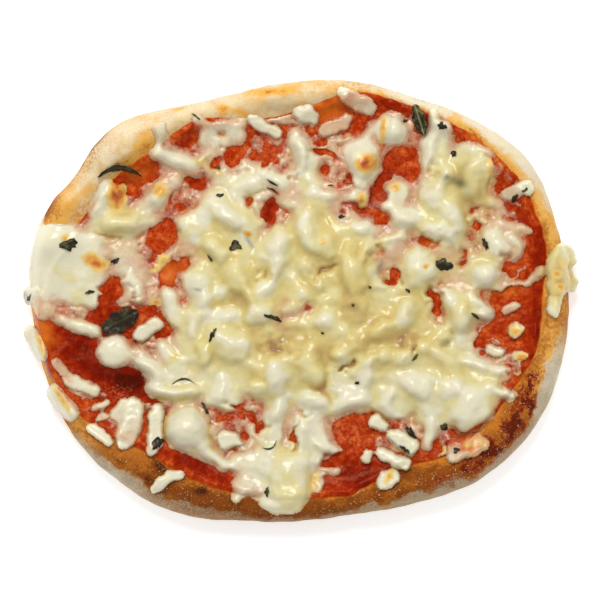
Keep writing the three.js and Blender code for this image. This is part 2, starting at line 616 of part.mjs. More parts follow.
// Loose pieces of cheese, each on its own; a piece is one strand or two that melted together.
const LOOSE = {
  cheese_shred_far_slanting: [[-9.4, 44.6, 10, 3, -30, 2.8, -0.4]],
  cheese_shred_far_flat: [[14.4, 51.0, 11, 3.8, -28, 2.0]],
  cheese_chunk_far: [[1.7, 47.4, 6.4, 5.2, -20, 3.2]],
  cheese_lump_far_pair: [[8.6, 44.6, 7.4, 4.4, 14, 2.4], [11.4, 46.2, 5, 3.8, 60, 2.4]],
  cheese_edge_left: [[-67.6, -11.2, 9.4, 3, -62, 2.0]],
  cheese_edge_near_left: [[-60.8, -26.4, 10.4, 4, -52, 2.4]],
  cheese_shred_left_torn: [[-56.4, -21.6, 10, 4, -26, 2.0], [-61.6, -17.6, 5.4, 2.6, -50, 1.6]],
  cheese_shred_left_slanting: [[-38.8, -7.4, 8, 3, 27, 2.6]],
  cheese_shred_left_upper: [[-51.4, -27.2, 4.4, 1.6, 16, 1.6]],
  cheese_shred_left_middle: [[-51.0, -30.2, 3.8, 1.8, 4, 1.6]],
  cheese_shred_left_lower: [[-51.4, -34.4, 7.4, 2.8, -38, 2.0]],
  cheese_shred_near_left_broad: [[-43.6, -31.6, 13.6, 6.8, 78, 2.4], [-46.0, -28.4, 7, 4.6, 60, 2.0]],
  cheese_shred_near_left_tall: [[-37.3, -33.4, 12.6, 3.8, 84, 3.0]],
  cheese_shred_near_rim: [[-33.6, -46.8, 10, 2.6, 27, 2.2, 0.9]],
  cheese_chunk_near_left: [[-18.4, -36.0, 6.6, 5, 14, 2.8]],
  cheese_rod_near_short: [[20.2, -31.6, 5.4, 3.2, -20, 3.2]],
  cheese_rod_near_thick: [[26.4, -36.2, 9, 4.2, -35, 4.0]],
  cheese_rod_near_thin: [[23.6, -40.8, 9, 3.2, -27, 3.2]],
  cheese_chunk_near_browned: [[22.4, -46.1, 5.6, 4.6, 30, 3.0]],
  cheese_crumb_near: [[17.0, -40.4, 3.6, 3.2, 80, 1.8]],
  cheese_blister_near_right: [[42.4, -37.8, 11, 6.4, 18, 2.6]],
  cheese_shred_right_oval: [[54.2, -2.2, 5, 2.8, 20, 1.6]],
  cheese_bit_right_browned: [[55.4, -7.8, 4, 3.6, 60, 2.4]],
  cheese_shred_right_small: [[50.2, -13.0, 4.4, 2.2, -8, 2.0]],
  cheese_bit_right_fried: [[56.8, -14.4, 4.4, 2.6, 30, 2.2]],
  cheese_shred_right_golden: [[56.0, 28.2, 8.4, 4.4, 22, 2.6]],
  cheese_lump_right_rim: [
    [66.6, 7.6, 14, 6.6, 82, 3.6],
    [68.8, 4.8, 6, 4.4, 80, 3.2],
    [65.4, -0.6, 7, 3, 75, 2.0],
  ],
};

// Flakes of dried herb on the cheese: [x, y, length, width, turn].
const FLAKES = [
  [-59.0, 14.0, 4.0, 3.2, 20],
  [37.0, 9.0, 4.0, 3.0, -20],
  [36.4, 44.4, 2.6, 2.0, -10],
  [39.5, 37.5, 2.0, 1.6, 40],
  [-16.4, 14.0, 3.0, 2.2, 10],
  [-7.0, 30.0, 2.8, 1.0, -30],
  [-6.4, -4.6, 4.6, 1.5, -16],
  [-22.8, -9.0, 3.4, 1.3, 70],
  [-36.9, -37.0, 3.0, 1.9, 70],
  [-8.6, -49.2, 2.4, 1.4, 85],
  [48.0, 14.6, 2.6, 1.3, -70],
  [56.4, 28.6, 2.4, 1.4, 20],
  [27.7, 2.4, 1.8, 1.1, -40],
  [-54.0, 2.4, 2.4, 1.2, 0],
  [10.8, 21.6, 1.8, 1.3, 30],
  [29.6, -14.8, 2.2, 1.2, 40],
];
const FLAKE_THICKNESS = 0.7; // half of it is sunk into the cheese

// Basil leaves: the middle, length, width and turn, the sideways sag of the middle, the height above what
// lies below, and how much higher the left edge is than the right one, looking along the leaf.
const LEAVES = {
  basil_leaf_left: { x: -46.1, y: -5.4, long: 10.2, wide: 5.4, turn: 27, bend: 0, lift: 1.7, tilt: 1.4 },
  basil_leaf_far: { x: 30.6, y: 46.2, long: 8.2, wide: 3.2, turn: -72, bend: 0, lift: 1.5, tilt: 0.5 },
  basil_leaf_charred: { x: -46.2, y: 31.6, long: 11.0, wide: 2.0, turn: 2, bend: 2.2, lift: 0.8, tilt: 0.2 },
};
const LEAF_THICKNESS = 0.4;
const LEAF_STEPS = [8, 2]; // along and across
const LEAF_WAVE = 0.35; // height of a leaf's waves

// ---------------------------------------------------------------- the cheese solids

// A generator of numbers from 0 to 1, the same in each run (mulberry32).
function seededRandom(seed) {
  let state = seed;
  return () => {
    state = (state + 0x6d2b79f5) | 0;
    let t = Math.imul(state ^ (state >>> 15), 1 | state);
    t = (t + Math.imul(t ^ (t >>> 7), 61 | t)) ^ t;
    return ((t ^ (t >>> 14)) >>> 0) / 4294967296;
  };
}

// Rows for the heap's shreds, spread evenly over its oval by a sunflower spiral and turned at random.
function heapRows() {
  const random = seededRandom(SEED);
  const between = ([low, high]) => low + (high - low) * random();
  const [x, y, halfLength, halfWidth] = HEAP.oval;
  return Array.from({ length: HEAP.count }, (_, i) => {
    const radius = Math.sqrt((i + 0.5) / HEAP.count);
    const angle = i * Math.PI * (3 - Math.sqrt(5));
    const place = [x + halfLength * radius * Math.cos(angle), y + halfWidth * radius * Math.sin(angle)];
    const [long, wide, turn] = [between(HEAP.long), between(HEAP.wide), 360 * random()];
    return [...place, long, wide, turn, between(HEAP.high), between(HEAP.bend), between(HEAP.lift)];
  });
}

const joined = (solids) => solids.reduce((sum, solid) => sum.add(solid));

const bed = solidFrom(bedGeometry());
const mainCheese = joined([...LOBES, ...STRANDS, ...heapRows()].map(strandSolid)).subtract(bed);
const looseCheese = (rows) => joined(rows.map(strandSolid)).subtract(bed);

// The geometry with each flake that lies over it fused to its top.
function withFlakes(geometry) {
  const mesh = new THREE.Mesh(geometry);
  const up = new THREE.Vector3(0, 0, 1);
  let solid = solidFrom(geometry);
  for (const [x, y, long, wide, turn] of FLAKES) {
    const fromAbove = new THREE.Raycaster(new THREE.Vector3(x, y, 100), new THREE.Vector3(0, 0, -1));
    const [hit] = fromAbove.intersectObject(mesh);
    if (!hit) continue;
    const flake = new THREE.CylinderGeometry(0.5, 0.5, FLAKE_THICKNESS, 5);
    flake.rotateX(Math.PI / 2);
    flake.scale(long, wide, 1);
    flake.rotateZ(radians(turn));
    flake.applyQuaternion(new THREE.Quaternion().setFromUnitVectors(up, hit.face.normal));
    flake.translate(hit.point.x, hit.point.y, hit.point.z);
    solid = solid.add(solidFrom(bare(flake)));
  }
  return geometryFrom(solid);
}

// ---------------------------------------------------------------- the leaves

// A thin wavy sheet, as a grid of cells whose two faces are split alike. From its base to its tip it widens
// and narrows again.
function leafGeometry({ x, y, long, wide, turn, bend, lift, tilt }) {
  const [along, across] = LEAF_STEPS;
  const [cos, sin] = [Math.cos(radians(turn)), Math.sin(radians(turn))];
  const points = [];
  for (let i = 0; i <= along; i++) {
    for (let j = 0; j <= across; j++) {
      const [u, v] = [(2 * i) / along - 1, (2 * j) / across - 1];
      const half = 0.5 * wide * Math.cos(1.4 * u) ** 0.7 * (1 + 0.1 * Math.sin(7 * u + 2 * v));
      const [px, py] = [0.5 * long * u, v * half + bend * (1 - u * u)];
      const [wx, wy] = [x + px * cos - py * sin, y + px * sin + py * cos];
      const wave = LEAF_WAVE * Math.sin(3 * u + 2 * v) + 0.5 * tilt * v;
      const z = bedHeight(wx, wy) + lift + wave;
      points.push(wx, wy, z, wx, wy, z + LEAF_THICKNESS);
    }
  }
  const at = (i, j, top) => 2 * (i * (across + 1) + j) + top;
  const faces = [];
  const quad = (a, b, c, d) => faces.push(a, b, c, a, c, d);
  for (let i = 0; i < along; i++) {
    for (let j = 0; j < across; j++) {
      quad(at(i, j, 1), at(i + 1, j, 1), at(i + 1, j + 1, 1), at(i, j + 1, 1));
      const [a, b, c, d] = [at(i, j, 0), at(i + 1, j, 0), at(i + 1, j + 1, 0), at(i, j + 1, 0)];
      faces.push(a, c, b, a, d, c);
    }
    quad(at(i, 0, 0), at(i + 1, 0, 0), at(i + 1, 0, 1), at(i, 0, 1));
    quad(at(i + 1, across, 0), at(i, across, 0), at(i, across, 1), at(i + 1, across, 1));
  }
  for (let j = 0; j < across; j++) {
    quad(at(0, j + 1, 0), at(0, j, 0), at(0, j, 1), at(0, j + 1, 1));
    quad(at(along, j, 0), at(along, j + 1, 0), at(along, j + 1, 1), at(along, j, 1));
  }
  const geometry = new THREE.BufferGeometry();
  geometry.setAttribute("position", new THREE.Float32BufferAttribute(points, 3));
  geometry.setIndex(faces);
  return geometry;
}

// ---------------------------------------------------------------- the pizza

function material(color, roughness) {
  return new THREE.MeshStandardMaterial({ color, roughness, metalness: 0 });
}

const pizza = new THREE.Group();

function place(name, geometry, finish) {
  const mesh = new THREE.Mesh(geometry, finish);
  mesh.name = name;
  pizza.add(mesh);
}

place("crust", doughGeometry(), material(0xd9a869, 0.85));
place("tomato_sauce", sauceGeometry(), material(0xb5300f, 0.35));
const mozzarella = material(0xe9e0b4, 0.45);
place("melted_cheese", withFlakes(simplified(mainCheese, TOLERANCE)), mozzarella);
for (const [name, rows] of Object.entries(LOOSE)) {
  place(name, withFlakes(simplified(looseCheese(rows), LOOSE_TOLERANCE)), mozzarella);
}
const basil = material(0x2a2a12, 0.6);
for (const [name, leaf] of Object.entries(LEAVES)) place(name, leafGeometry(leaf), basil);

export default pizza;
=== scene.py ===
# A small oval margherita pizza, dressed round its solids. Fields over the pizza are arrays of samples on one
# grid, in millimetres, +Y to the far side; meshes are made from them in metres.
import math

import bpy
import numpy as np
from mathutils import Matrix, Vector
from mathutils.bvhtree import BVHTree
from mathutils.geometry import delaunay_2d_cdt


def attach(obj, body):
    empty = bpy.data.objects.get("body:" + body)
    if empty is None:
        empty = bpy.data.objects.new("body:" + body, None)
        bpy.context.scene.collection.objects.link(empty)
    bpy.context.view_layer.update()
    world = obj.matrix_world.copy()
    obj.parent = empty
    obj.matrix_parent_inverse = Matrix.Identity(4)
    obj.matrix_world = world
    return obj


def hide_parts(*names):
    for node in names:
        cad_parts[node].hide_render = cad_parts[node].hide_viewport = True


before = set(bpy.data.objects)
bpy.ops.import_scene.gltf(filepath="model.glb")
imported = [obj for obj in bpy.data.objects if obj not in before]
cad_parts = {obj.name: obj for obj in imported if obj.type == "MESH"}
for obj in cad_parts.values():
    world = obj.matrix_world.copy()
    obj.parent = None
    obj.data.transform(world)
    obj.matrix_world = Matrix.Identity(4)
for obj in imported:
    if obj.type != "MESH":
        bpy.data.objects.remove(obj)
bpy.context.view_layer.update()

MM = 0.001

# ---------------------------------------------------------------- fields over the pizza

STEP = 0.3  # between samples
REACH = (75.0, 61.0)  # half the grid's length and width
XS = np.arange(-REACH[0], REACH[0] + STEP, STEP)
YS = np.arange(-REACH[1], REACH[1] + STEP, STEP)
GX, GY = np.meshgrid(XS, YS)
WAVES = np.fft.fftfreq(len(XS), STEP)[None, :] ** 2 + np.fft.fftfreq(len(YS), STEP)[:, None] ** 2


def blur(field, width):
    """The field softened by a bell curve of that width."""
    spectrum = np.fft.fft2(np.asarray(field, float))
    return np.real(np.fft.ifft2(spectrum * np.exp(-2 * (math.pi * width) ** 2 * WAVES)))


def blur_inside(field, inside, width):
    """The same, from the samples inside alone."""
    weight = blur(inside, width)
    return blur(np.where(inside, field, 0), width) / np.maximum(weight, 0.02)


def mottle(seed, size):
    """Soft random blotches about that far across, with mean 0 and deviation 1."""
    field = blur(np.random.default_rng(seed).standard_normal(GX.shape), size / 3)
    return (field - field.mean()) / field.std()


def ramp(field, low, high):
    """0 below low, 1 above high, and a smooth rise between."""
    t = np.clip((field - low) / (high - low), 0, 1)
    return t * t * (3 - 2 * t)


def soft_max(one, other, width):
    """The greater of two fields, rounded off where they are about equal."""
    return 0.5 * (one + other + np.sqrt((one - other) ** 2 + width**2) - width)


def sample(field, x, y):
    """The field at any points, between its samples."""
    u = np.clip((np.asarray(x) - XS[0]) / STEP, 0, len(XS) - 1.001)
    v = np.clip((np.asarray(y) - YS[0]) / STEP, 0, len(YS) - 1.001)
    i, j = u.astype(int), v.astype(int)
    s, t = u - i, v - j
    near = (1 - s) * field[j, i] + s * field[j, i + 1]
    far = (1 - s) * field[j + 1, i] + s * field[j + 1, i + 1]
    return (1 - t) * near + t * far


def window(x, y, reach):
    """The part of the grid round a point, and each sample's place from the point."""
    i0, i1 = np.searchsorted(XS, (x - reach, x + reach))
    j0, j1 = np.searchsorted(YS, (y - reach, y + reach))
    return (slice(j0, j1), slice(i0, i1)), XS[None, i0:i1] - x, YS[j0:j1, None] - y


def turned(dx, dy, turn):
    """The same places along and across a line at an angle in degrees."""
    cos, sin = math.cos(math.radians(turn)), math.sin(math.radians(turn))
    return dx * cos + dy * sin, dy * cos - dx * sin


def spots(rows):
    """Soft oval spots: rows of [x, y, half length, half width, turn, strength]."""
    field = np.zeros_like(GX)
    for x, y, long, wide, turn, strength in rows:
        part, dx, dy = window(x, y, 3 * max(long, wide))
        u, v = turned(dx, dy, turn)
        field[part] += strength * np.exp(-((u / long) ** 2) - (v / wide) ** 2)
    return field


def height_map(*names):
    """The highest point of the named solids over each sample; minus infinity beside them."""
    top = np.full(GX.shape, -np.inf)
    for name in names:
        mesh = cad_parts[name].data
        mesh.calc_loop_triangles()
        points = np.empty(3 * len(mesh.vertices))
        mesh.vertices.foreach_get("co", points)
        corners = np.empty(3 * len(mesh.loop_triangles), int)
        mesh.loop_triangles.foreach_get("vertices", corners)
        for a, b, c in (points.reshape(-1, 3) / MM)[corners.reshape(-1, 3)]:
            area = (b[0] - a[0]) * (c[1] - a[1]) - (b[1] - a[1]) * (c[0] - a[0])
            if area < 1e-9:
                continue
            i0, i1 = np.searchsorted(XS, (min(a[0], b[0], c[0]), max(a[0], b[0], c[0])))
            j0, j1 = np.searchsorted(YS, (min(a[1], b[1], c[1]), max(a[1], b[1], c[1])))
            if i0 == i1 or j0 == j1:
                continue
            x, y = XS[None, i0:i1], YS[j0:j1, None]
            s = ((x - a[0]) * (c[1] - a[1]) - (y - a[1]) * (c[0] - a[0])) / area
            t = ((y - a[1]) * (b[0] - a[0]) - (x - a[0]) * (b[1] - a[1])) / area
            z = a[2] + s * (b[2] - a[2]) + t * (c[2] - a[2])
            part = top[j0:j1, i0:i1]
            np.maximum(part, np.where((s >= 0) & (t >= 0) & (s + t <= 1), z, -np.inf), out=part)
    return top


# ---------------------------------------------------------------- meshes from fields

SPARSE = 14  # samples between the few points inside a surface that doesn't show


def new_piece(name, points, faces, values, material, replaced=()):
    """A mesh piece from points in millimetres, with a value of each field at each point."""
    mesh = bpy.data.meshes.new(name)
    mesh.from_pydata((np.asarray(points) * MM).tolist(), [], faces)
    mesh.validate()
    for field, numbers in values.items():
        attribute = mesh.attributes.new(field, "FLOAT", "POINT")
        attribute.data.foreach_set("value", np.asarray(numbers, np.float32))
    mesh.shade_smooth()
    mesh.materials.append(material)
    piece = bpy.data.objects.new(name, mesh)
    bpy.context.scene.collection.objects.link(piece)
    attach(piece, "root")
    if replaced:
        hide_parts(*replaced)


def all_corners(marked):
    """The grid's cells with all four corners marked."""
    return marked[:-1, :-1] & marked[1:, :-1] & marked[:-1, 1:] & marked[1:, 1:]


def outline_edges(cells):
    """Starts and ends, as (row, column), of the grid edges round a region, which is on their left."""
    rows, columns = cells.shape
    padded = np.zeros((rows + 2, columns + 2), bool)
    padded[1:-1, 1:-1] = cells
    sides = (
        (padded[:-2, 1:-1], (0, 0), (0, 1)),
        (padded[1:-1, 2:], (0, 1), (1, 1)),
        (padded[2:, 1:-1], (1, 1), (1, 0)),
        (padded[1:-1, :-2], (1, 0), (0, 0)),
    )
    starts, ends = [], []
    for neighbour, start, end in sides:
        here = np.argwhere(cells & ~neighbour)
        starts.append(here + start)
        ends.append(here + end)
    return np.concatenate(starts), np.concatenate(ends)


def sparse_faces(cells, index):
    """Triangles that fill a region of cells from its outline and a few points inside it."""
    if not cells.any():
        return []
    starts, ends = outline_edges(cells)
    inner = all_corners(cells)
    few = np.zeros_like(inner)
    few[SPARSE // 2 :: SPARSE, SPARSE // 2 :: SPARSE] = True
    places = np.unique(np.concatenate([starts, ends, np.argwhere(inner & few) + 1]), axis=0)
    rank = {tuple(place): k for k, place in enumerate(places.tolist())}
    edges = [(rank[tuple(a)], rank[tuple(b)]) for a, b in zip(starts.tolist(), ends.tolist())]
    flat = [Vector((float(column), float(row))) for row, column in places]
    found = delaunay_2d_cdt(flat, edges, [], 0, 1e-5, True)
    faces = []
    for face in found[2]:
        corners = [places[found[3][v][0]] for v in face]
        row, column = (sum(corner[k] for corner in corners) / 3 for k in (0, 1))
        if cells[int(row), int(column)]:
            faces.append([int(index[tuple(corner)]) for corner in corners])
    return faces


def height_solid(name, top, bottom, cells, covered, values, material, replaced):
    """A closed mesh between two fields over a region of cells, fine on top where it isn't covered."""
    index = np.arange(GX.size).reshape(GX.shape)
    fine = cells & ~covered
    corners = (index[:-1, :-1], index[:-1, 1:], index[1:, 1:], index[1:, :-1])
    faces = np.stack([corner[fine] for corner in corners], axis=1).tolist()
    faces += sparse_faces(cells & covered, index)
    faces += [[v + GX.size for v in reversed(face)] for face in sparse_faces(cells, index)]
    starts, ends = outline_edges(cells)
    for p, q in zip(index[tuple(starts.T)].tolist(), index[tuple(ends.T)].tolist()):
        faces.append([q, p, p + GX.size, q + GX.size])
    used = np.zeros(2 * GX.size, bool)
    for face in faces:
        used[face] = True
    number = np.cumsum(used) - 1
    faces = [[int(number[v]) for v in face] for face in faces]
    height = np.append(top.ravel(), bottom.ravel())
    points = np.stack([np.tile(GX.ravel(), 2), np.tile(GY.ravel(), 2), height], axis=1)
    kept = {field: np.tile(numbers.ravel(), 2)[used] for field, numbers in values.items()}
    new_piece(name, points[used], faces, kept, material, replaced)


# ---------------------------------------------------------------- materials

LIT = 0.76  # the studio light is a third brighter than would show a surface in its own colour


def srgb(*screen):
    """A colour given as it looks on a screen in the studio light, 0 to 255, as the shader takes it."""
    linear = (((c / 255 + 0.055) / 1.055) ** 2.4 if c > 10 else c / 3295 for c in screen)
    return (*(LIT * c for c in linear), 1)


def node(tree, kind, settings=None, **inputs):
    """A shader node; inputs are numbers, colours or the sockets to link, by name with _ for a space."""
    made = tree.nodes.new("ShaderNode" + kind)
    for key, value in (settings or {}).items():
        setattr(made, key, value)
    for key, value in inputs.items():
        fill(tree, made.inputs[key.replace("_", " ")], value)
    return made


def fill(tree, socket, value):
    """Links or sets one input."""
    if isinstance(value, bpy.types.NodeSocket):
        tree.links.new(value, socket)
    else:
        socket.default_value = value


def field_of(tree, name):
    return node(tree, "Attribute", {"attribute_name": name}).outputs["Fac"]


def noise(tree, scale, detail=4.0, roughness=0.55):
    """Shader noise whose scale is in blotches per metre."""
    where = node(tree, "TexCoord").outputs["Object"]
    made = node(tree, "TexNoise", Vector=where, Scale=scale, Detail=detail, Roughness=roughness)
    return made.outputs["Fac"]


def spread(tree, value, low, high, start=0.0, end=1.0):
    """value from low to high becomes start to end, held outside."""
    settings = {"interpolation_type": "SMOOTHSTEP"}
    inputs = {"From_Min": low, "From_Max": high, "To_Min": start, "To_Max": end}
    return node(tree, "MapRange", settings, Value=value, **inputs).outputs["Result"]


def combined(tree, operation, one, other):
    made = node(tree, "Math", {"operation": operation})
    fill(tree, made.inputs[0], one)
    fill(tree, made.inputs[1], other)
    return made.outputs[0]


def plus(tree, one, other):
    return combined(tree, "ADD", one, other)


def times(tree, one, other):
    return combined(tree, "MULTIPLY", one, other)


def varied(tree, value, noise_value, amount, low=0.3):
    """The value with up to that amount of noise added or taken away."""
    return plus(tree, value, spread(tree, noise_value, low, 1 - low, -amount, amount))


def blend(tree, share, one, other):
    """A colour between two, by a share from 0 to 1."""
    made = node(tree, "Mix", {"data_type": "RGBA"})
    fill(tree, made.inputs["Factor"], share)
    fill(tree, made.inputs[6], one)  # A and B and the result, each of which has sockets for numbers too
    fill(tree, made.inputs[7], other)
    return made.outputs[2]


def shades(tree, value, rows):
    """A colour that passes through rows of [value, colour]."""
    colour = rows[0][1]
    for (low, _), (high, after) in zip(rows, rows[1:]):
        colour = blend(tree, spread(tree, value, low, high), colour, after)
    return colour


def new_material(name, **inputs):
    """A material with the shader's own inputs set, its tree and its shader."""
    material = bpy.data.materials.new(name)
    material.use_nodes = True
    tree = material.node_tree
    shader = tree.nodes["Principled BSDF"]
    for key, value in inputs.items():
        shader.inputs[key.replace("_", " ")].default_value = value
    return material, tree, shader


def bump(tree, shader, height, distance, strength):
    normal = node(tree, "Bump", Height=height, Distance=distance, Strength=strength).outputs["Normal"]
    tree.links.new(normal, shader.inputs["Normal"])


def dough_material():
    """Baked dough: pale and floury, golden or brown where it is toasted, and stained beside the sauce; the
    deeper toasting and greyer flour on the near side are partly painted shade.
    """
    material, tree, shader = new_material(
        "baked_dough", Roughness=0.75, Specular_IOR_Level=0.06,
        Subsurface_Weight=0.1, Subsurface_Radius=(1.0, 0.5, 0.25), Subsurface_Scale=0.6 * MM,
    )
    fine = noise(tree, 1500, 3)
    blotch = noise(tree, 260, 5)
    # Real toasting, made darker on the near side as painted shade.
    toast = varied(tree, field_of(tree, "toast"), blotch, 0.12)
    toast = varied(tree, toast, fine, 0.07)
    pale = blend(tree, spread(tree, blotch, 0.35, 0.65), srgb(238, 214, 166), srgb(224, 194, 142))
    baked = shades(tree, toast, [
        [0.05, pale],
        [0.4, srgb(240, 180, 86)],
        [0.75, srgb(184, 108, 34)],
        [1.05, srgb(138, 70, 14)],
        [1.5, srgb(76, 32, 6)],
    ])
    stain = varied(tree, field_of(tree, "stain"), fine, 0.12)
    stained = shades(tree, stain, [[0.1, baked], [0.55, srgb(222, 136, 44)], [1.0, srgb(184, 74, 20)]])
    char = varied(tree, field_of(tree, "burnt"), fine, 0.3)
    burnt = shades(tree, char, [[0.2, stained], [0.6, srgb(150, 62, 18)], [1.1, srgb(104, 32, 8)]])
    grains = spread(tree, noise(tree, 2800, 2), 0.42, 0.6, 0.45, 1.0)
    dust = times(tree, field_of(tree, "flour"), grains)
    # Flour greyer over toasted dough, which is partly painted shade on the near side.
    flour_grey_and_shade = blend(tree, spread(tree, toast, 0.2, 0.9), srgb(236, 225, 198), srgb(190, 173, 141))
    floured = blend(tree, spread(tree, dust, 0.05, 0.85), burnt, flour_grey_and_shade)
    crumbs = times(tree, spread(tree, noise(tree, 2100, 1), 0.64, 0.7), spread(tree, toast, 0.4, 0.8))
    crumbs = times(tree, crumbs, spread(tree, blotch, 0.35, 0.6, 0.1, 0.8))
    floured = blend(tree, crumbs, floured, srgb(212, 188, 146))
    specks = spread(tree, noise(tree, 1700, 2), 0.48, 0.6)
    speck = times(tree, field_of(tree, "speckle"), specks)
    tree.links.new(blend(tree, speck, floured, srgb(156, 104, 58)), shader.inputs["Base Color"])
    bump(tree, shader, noise(tree, 1800, 5, 0.7), 0.16 * MM, 0.8)
    return material


def sauce_colour(tree):
    """Orange where it is thin and oily, red, deep red where it is thick, and brown where it is burnt, with
    pale specks of pulp that also stand in for glints as painted highlight.
    """
    blotch = noise(tree, 300, 5, 0.6)
    deep = varied(tree, field_of(tree, "deep"), blotch, 0.28)
    grain = spread(tree, noise(tree, 800, 5, 0.7), 0.34, 0.64, -0.3, 0.26)
    smooth = spread(tree, field_of(tree, "oily"), 0.2, 0.7, 1.0, 0.4)
    smooth = times(tree, spread(tree, deep, 0.4, 1.0, 1.0, 0.2), smooth)
    deep = plus(tree, deep, times(tree, grain, smooth))
    base = shades(tree, deep, [
        [-0.45, srgb(218, 104, 46)],
        [-0.1, srgb(190, 66, 18)],
        [0.2, srgb(170, 44, 5)],
        [0.6, srgb(146, 26, 0)],
        [1.0, srgb(120, 13, 0)],
        [1.5, srgb(78, 9, 0)],
    ])
    oily = varied(tree, field_of(tree, "oily"), blotch, -0.12, 0.35)
    base = blend(tree, spread(tree, oily, 0.05, 1.0), base, srgb(216, 108, 32))
    # Pale specks of pulp, which are also painted glints.
    pulp = times(tree, field_of(tree, "pulp"), spread(tree, noise(tree, 1300, 3), 0.46, 0.6))
    base = blend(tree, spread(tree, pulp, 0, 1, 0, 0.6), base, srgb(204, 112, 72))
    return blend(tree, spread(tree, field_of(tree, "burnt"), 0.2, 1.0), base, srgb(96, 30, 10))


def sauce_material():
    """Tomato sauce: wet and a little pulpy, thinning out on the dough at its edge."""
    material, tree, shader = new_material(
        "tomato_sauce", Specular_Tint=(1.0, 0.55, 0.3, 1.0), Specular_IOR_Level=0.14
    )
    edge = spread(tree, field_of(tree, "layer"), 0.08, 0.42)
    tree.links.new(blend(tree, edge, srgb(188, 88, 26), sauce_colour(tree)), shader.inputs["Base Color"])
    tree.links.new(spread(tree, noise(tree, 500, 3), 0.3, 0.7, 0.14, 0.3), shader.inputs["Roughness"])
    bump(tree, shader, noise(tree, 1000, 4, 0.6), 0.2 * MM, 0.7)
    return material


def cheese_material():
    """Melted mozzarella: a milky film over the sauce where thin, cream where thick, yellower and darker in
    hollows and creases as painted shade, whiter on crests as painted highlight.
    """
    material, tree, shader = new_material(
        "melted_mozzarella", Coat_Weight=0.45, Coat_Roughness=0.14, Specular_IOR_Level=0.15,
        Subsurface_Weight=0.6, Subsurface_Radius=(1.0, 0.68, 0.3), Subsurface_Scale=1.4 * MM,
    )
    blotch = noise(tree, 380, 4, 0.55)
    grain = noise(tree, 1500, 2)
    # Real yellowing, with painted shade in hollows and creases and a painted highlight on crests.
    rich = varied(tree, field_of(tree, "rich"), blotch, 0.1)
    body = shades(tree, rich, [
        [-0.15, srgb(236, 230, 200)],
        [0.22, srgb(231, 219, 162)],
        [0.6, srgb(224, 203, 130)],
        [1.0, srgb(206, 176, 108)],
        [1.6, srgb(166, 122, 76)],
    ])
    milk = varied(tree, field_of(tree, "thick"), blotch, 0.12)
    milk = varied(tree, milk, grain, 0.1, 0.35)
    under = blend(tree, field_of(tree, "dough"), sauce_colour(tree), srgb(226, 176, 118))
    film = blend(tree, spread(tree, rich, 0.1, 0.7), srgb(222, 190, 152), srgb(214, 184, 122))
    base = blend(tree, spread(tree, milk, 0.0, 0.75, 0.0, 0.9), under, film)
    base = blend(tree, spread(tree, milk, 0.7, 1.8), base, body)
    fried = varied(tree, field_of(tree, "fried"), blotch, 0.08, 0.35)
    base = shades(tree, fried, [
        [0.1, base],
        [0.4, srgb(238, 206, 122)],
        [0.75, srgb(234, 166, 72)],
        [1.15, srgb(206, 112, 40)],
        [1.6, srgb(150, 66, 22)],
    ])
    base = blend(tree, field_of(tree, "herb"), base, srgb(84, 84, 52))
    tree.links.new(base, shader.inputs["Base Color"])
    tree.links.new(spread(tree, noise(tree, 600, 3), 0.3, 0.7, 0.34, 0.5), shader.inputs["Roughness"])
    rough = spread(tree, field_of(tree, "thick"), 0.4, 2.2, 1.0, 0.25)
    bump(tree, shader, times(tree, noise(tree, 1200, 3, 0.5), rough), 0.12 * MM, 0.6)
    return material


def herb_material():
    """Dried herb and wilted basil: nearly black, olive where the light catches it."""
    material, tree, shader = new_material("wilted_basil", Roughness=0.38, Specular_IOR_Level=0.25)
    blotch = noise(tree, 420, 3)
    light = times(tree, spread(tree, blotch, 0.44, 0.64), field_of(tree, "olive"))
    base = blend(tree, light, srgb(36, 27, 12), srgb(112, 104, 58))
    base = blend(tree, field_of(tree, "vein"), base, srgb(158, 160, 108))
    tree.links.new(base, shader.inputs["Base Color"])
    bump(tree, shader, noise(tree, 1500, 3), 0.15 * MM, 0.7)
    return material


# ---------------------------------------------------------------- the dough

DOUGH_COLUMNS = 1040  # round the pizza
HEART = (5.0, 4.6)  # how far inside the outline, and how high, the rim's section is seen from
LOWEST, OVER, RIM_RINGS = -62, 90, 46  # angles of the first and last ring seen from there, and their number
SLOPE, SLOPE_RINGS = 13.0, 34  # the rim's inner slope, which has rings as fine
DISH_RINGS = 10
UNDER_RINGS = 6
LEVELS = (4.6, 5.6, 6.6)  # heights at which the outline is measured
FAR_OFF, HIGH_UP = 0.2, 0.05  # where the rays come from that find it and the dish, in metres
BUMPS = ((2.2, 0.04), (6, 0.08), (16, 0.14))  # of the sides: how many columns wide, and how high
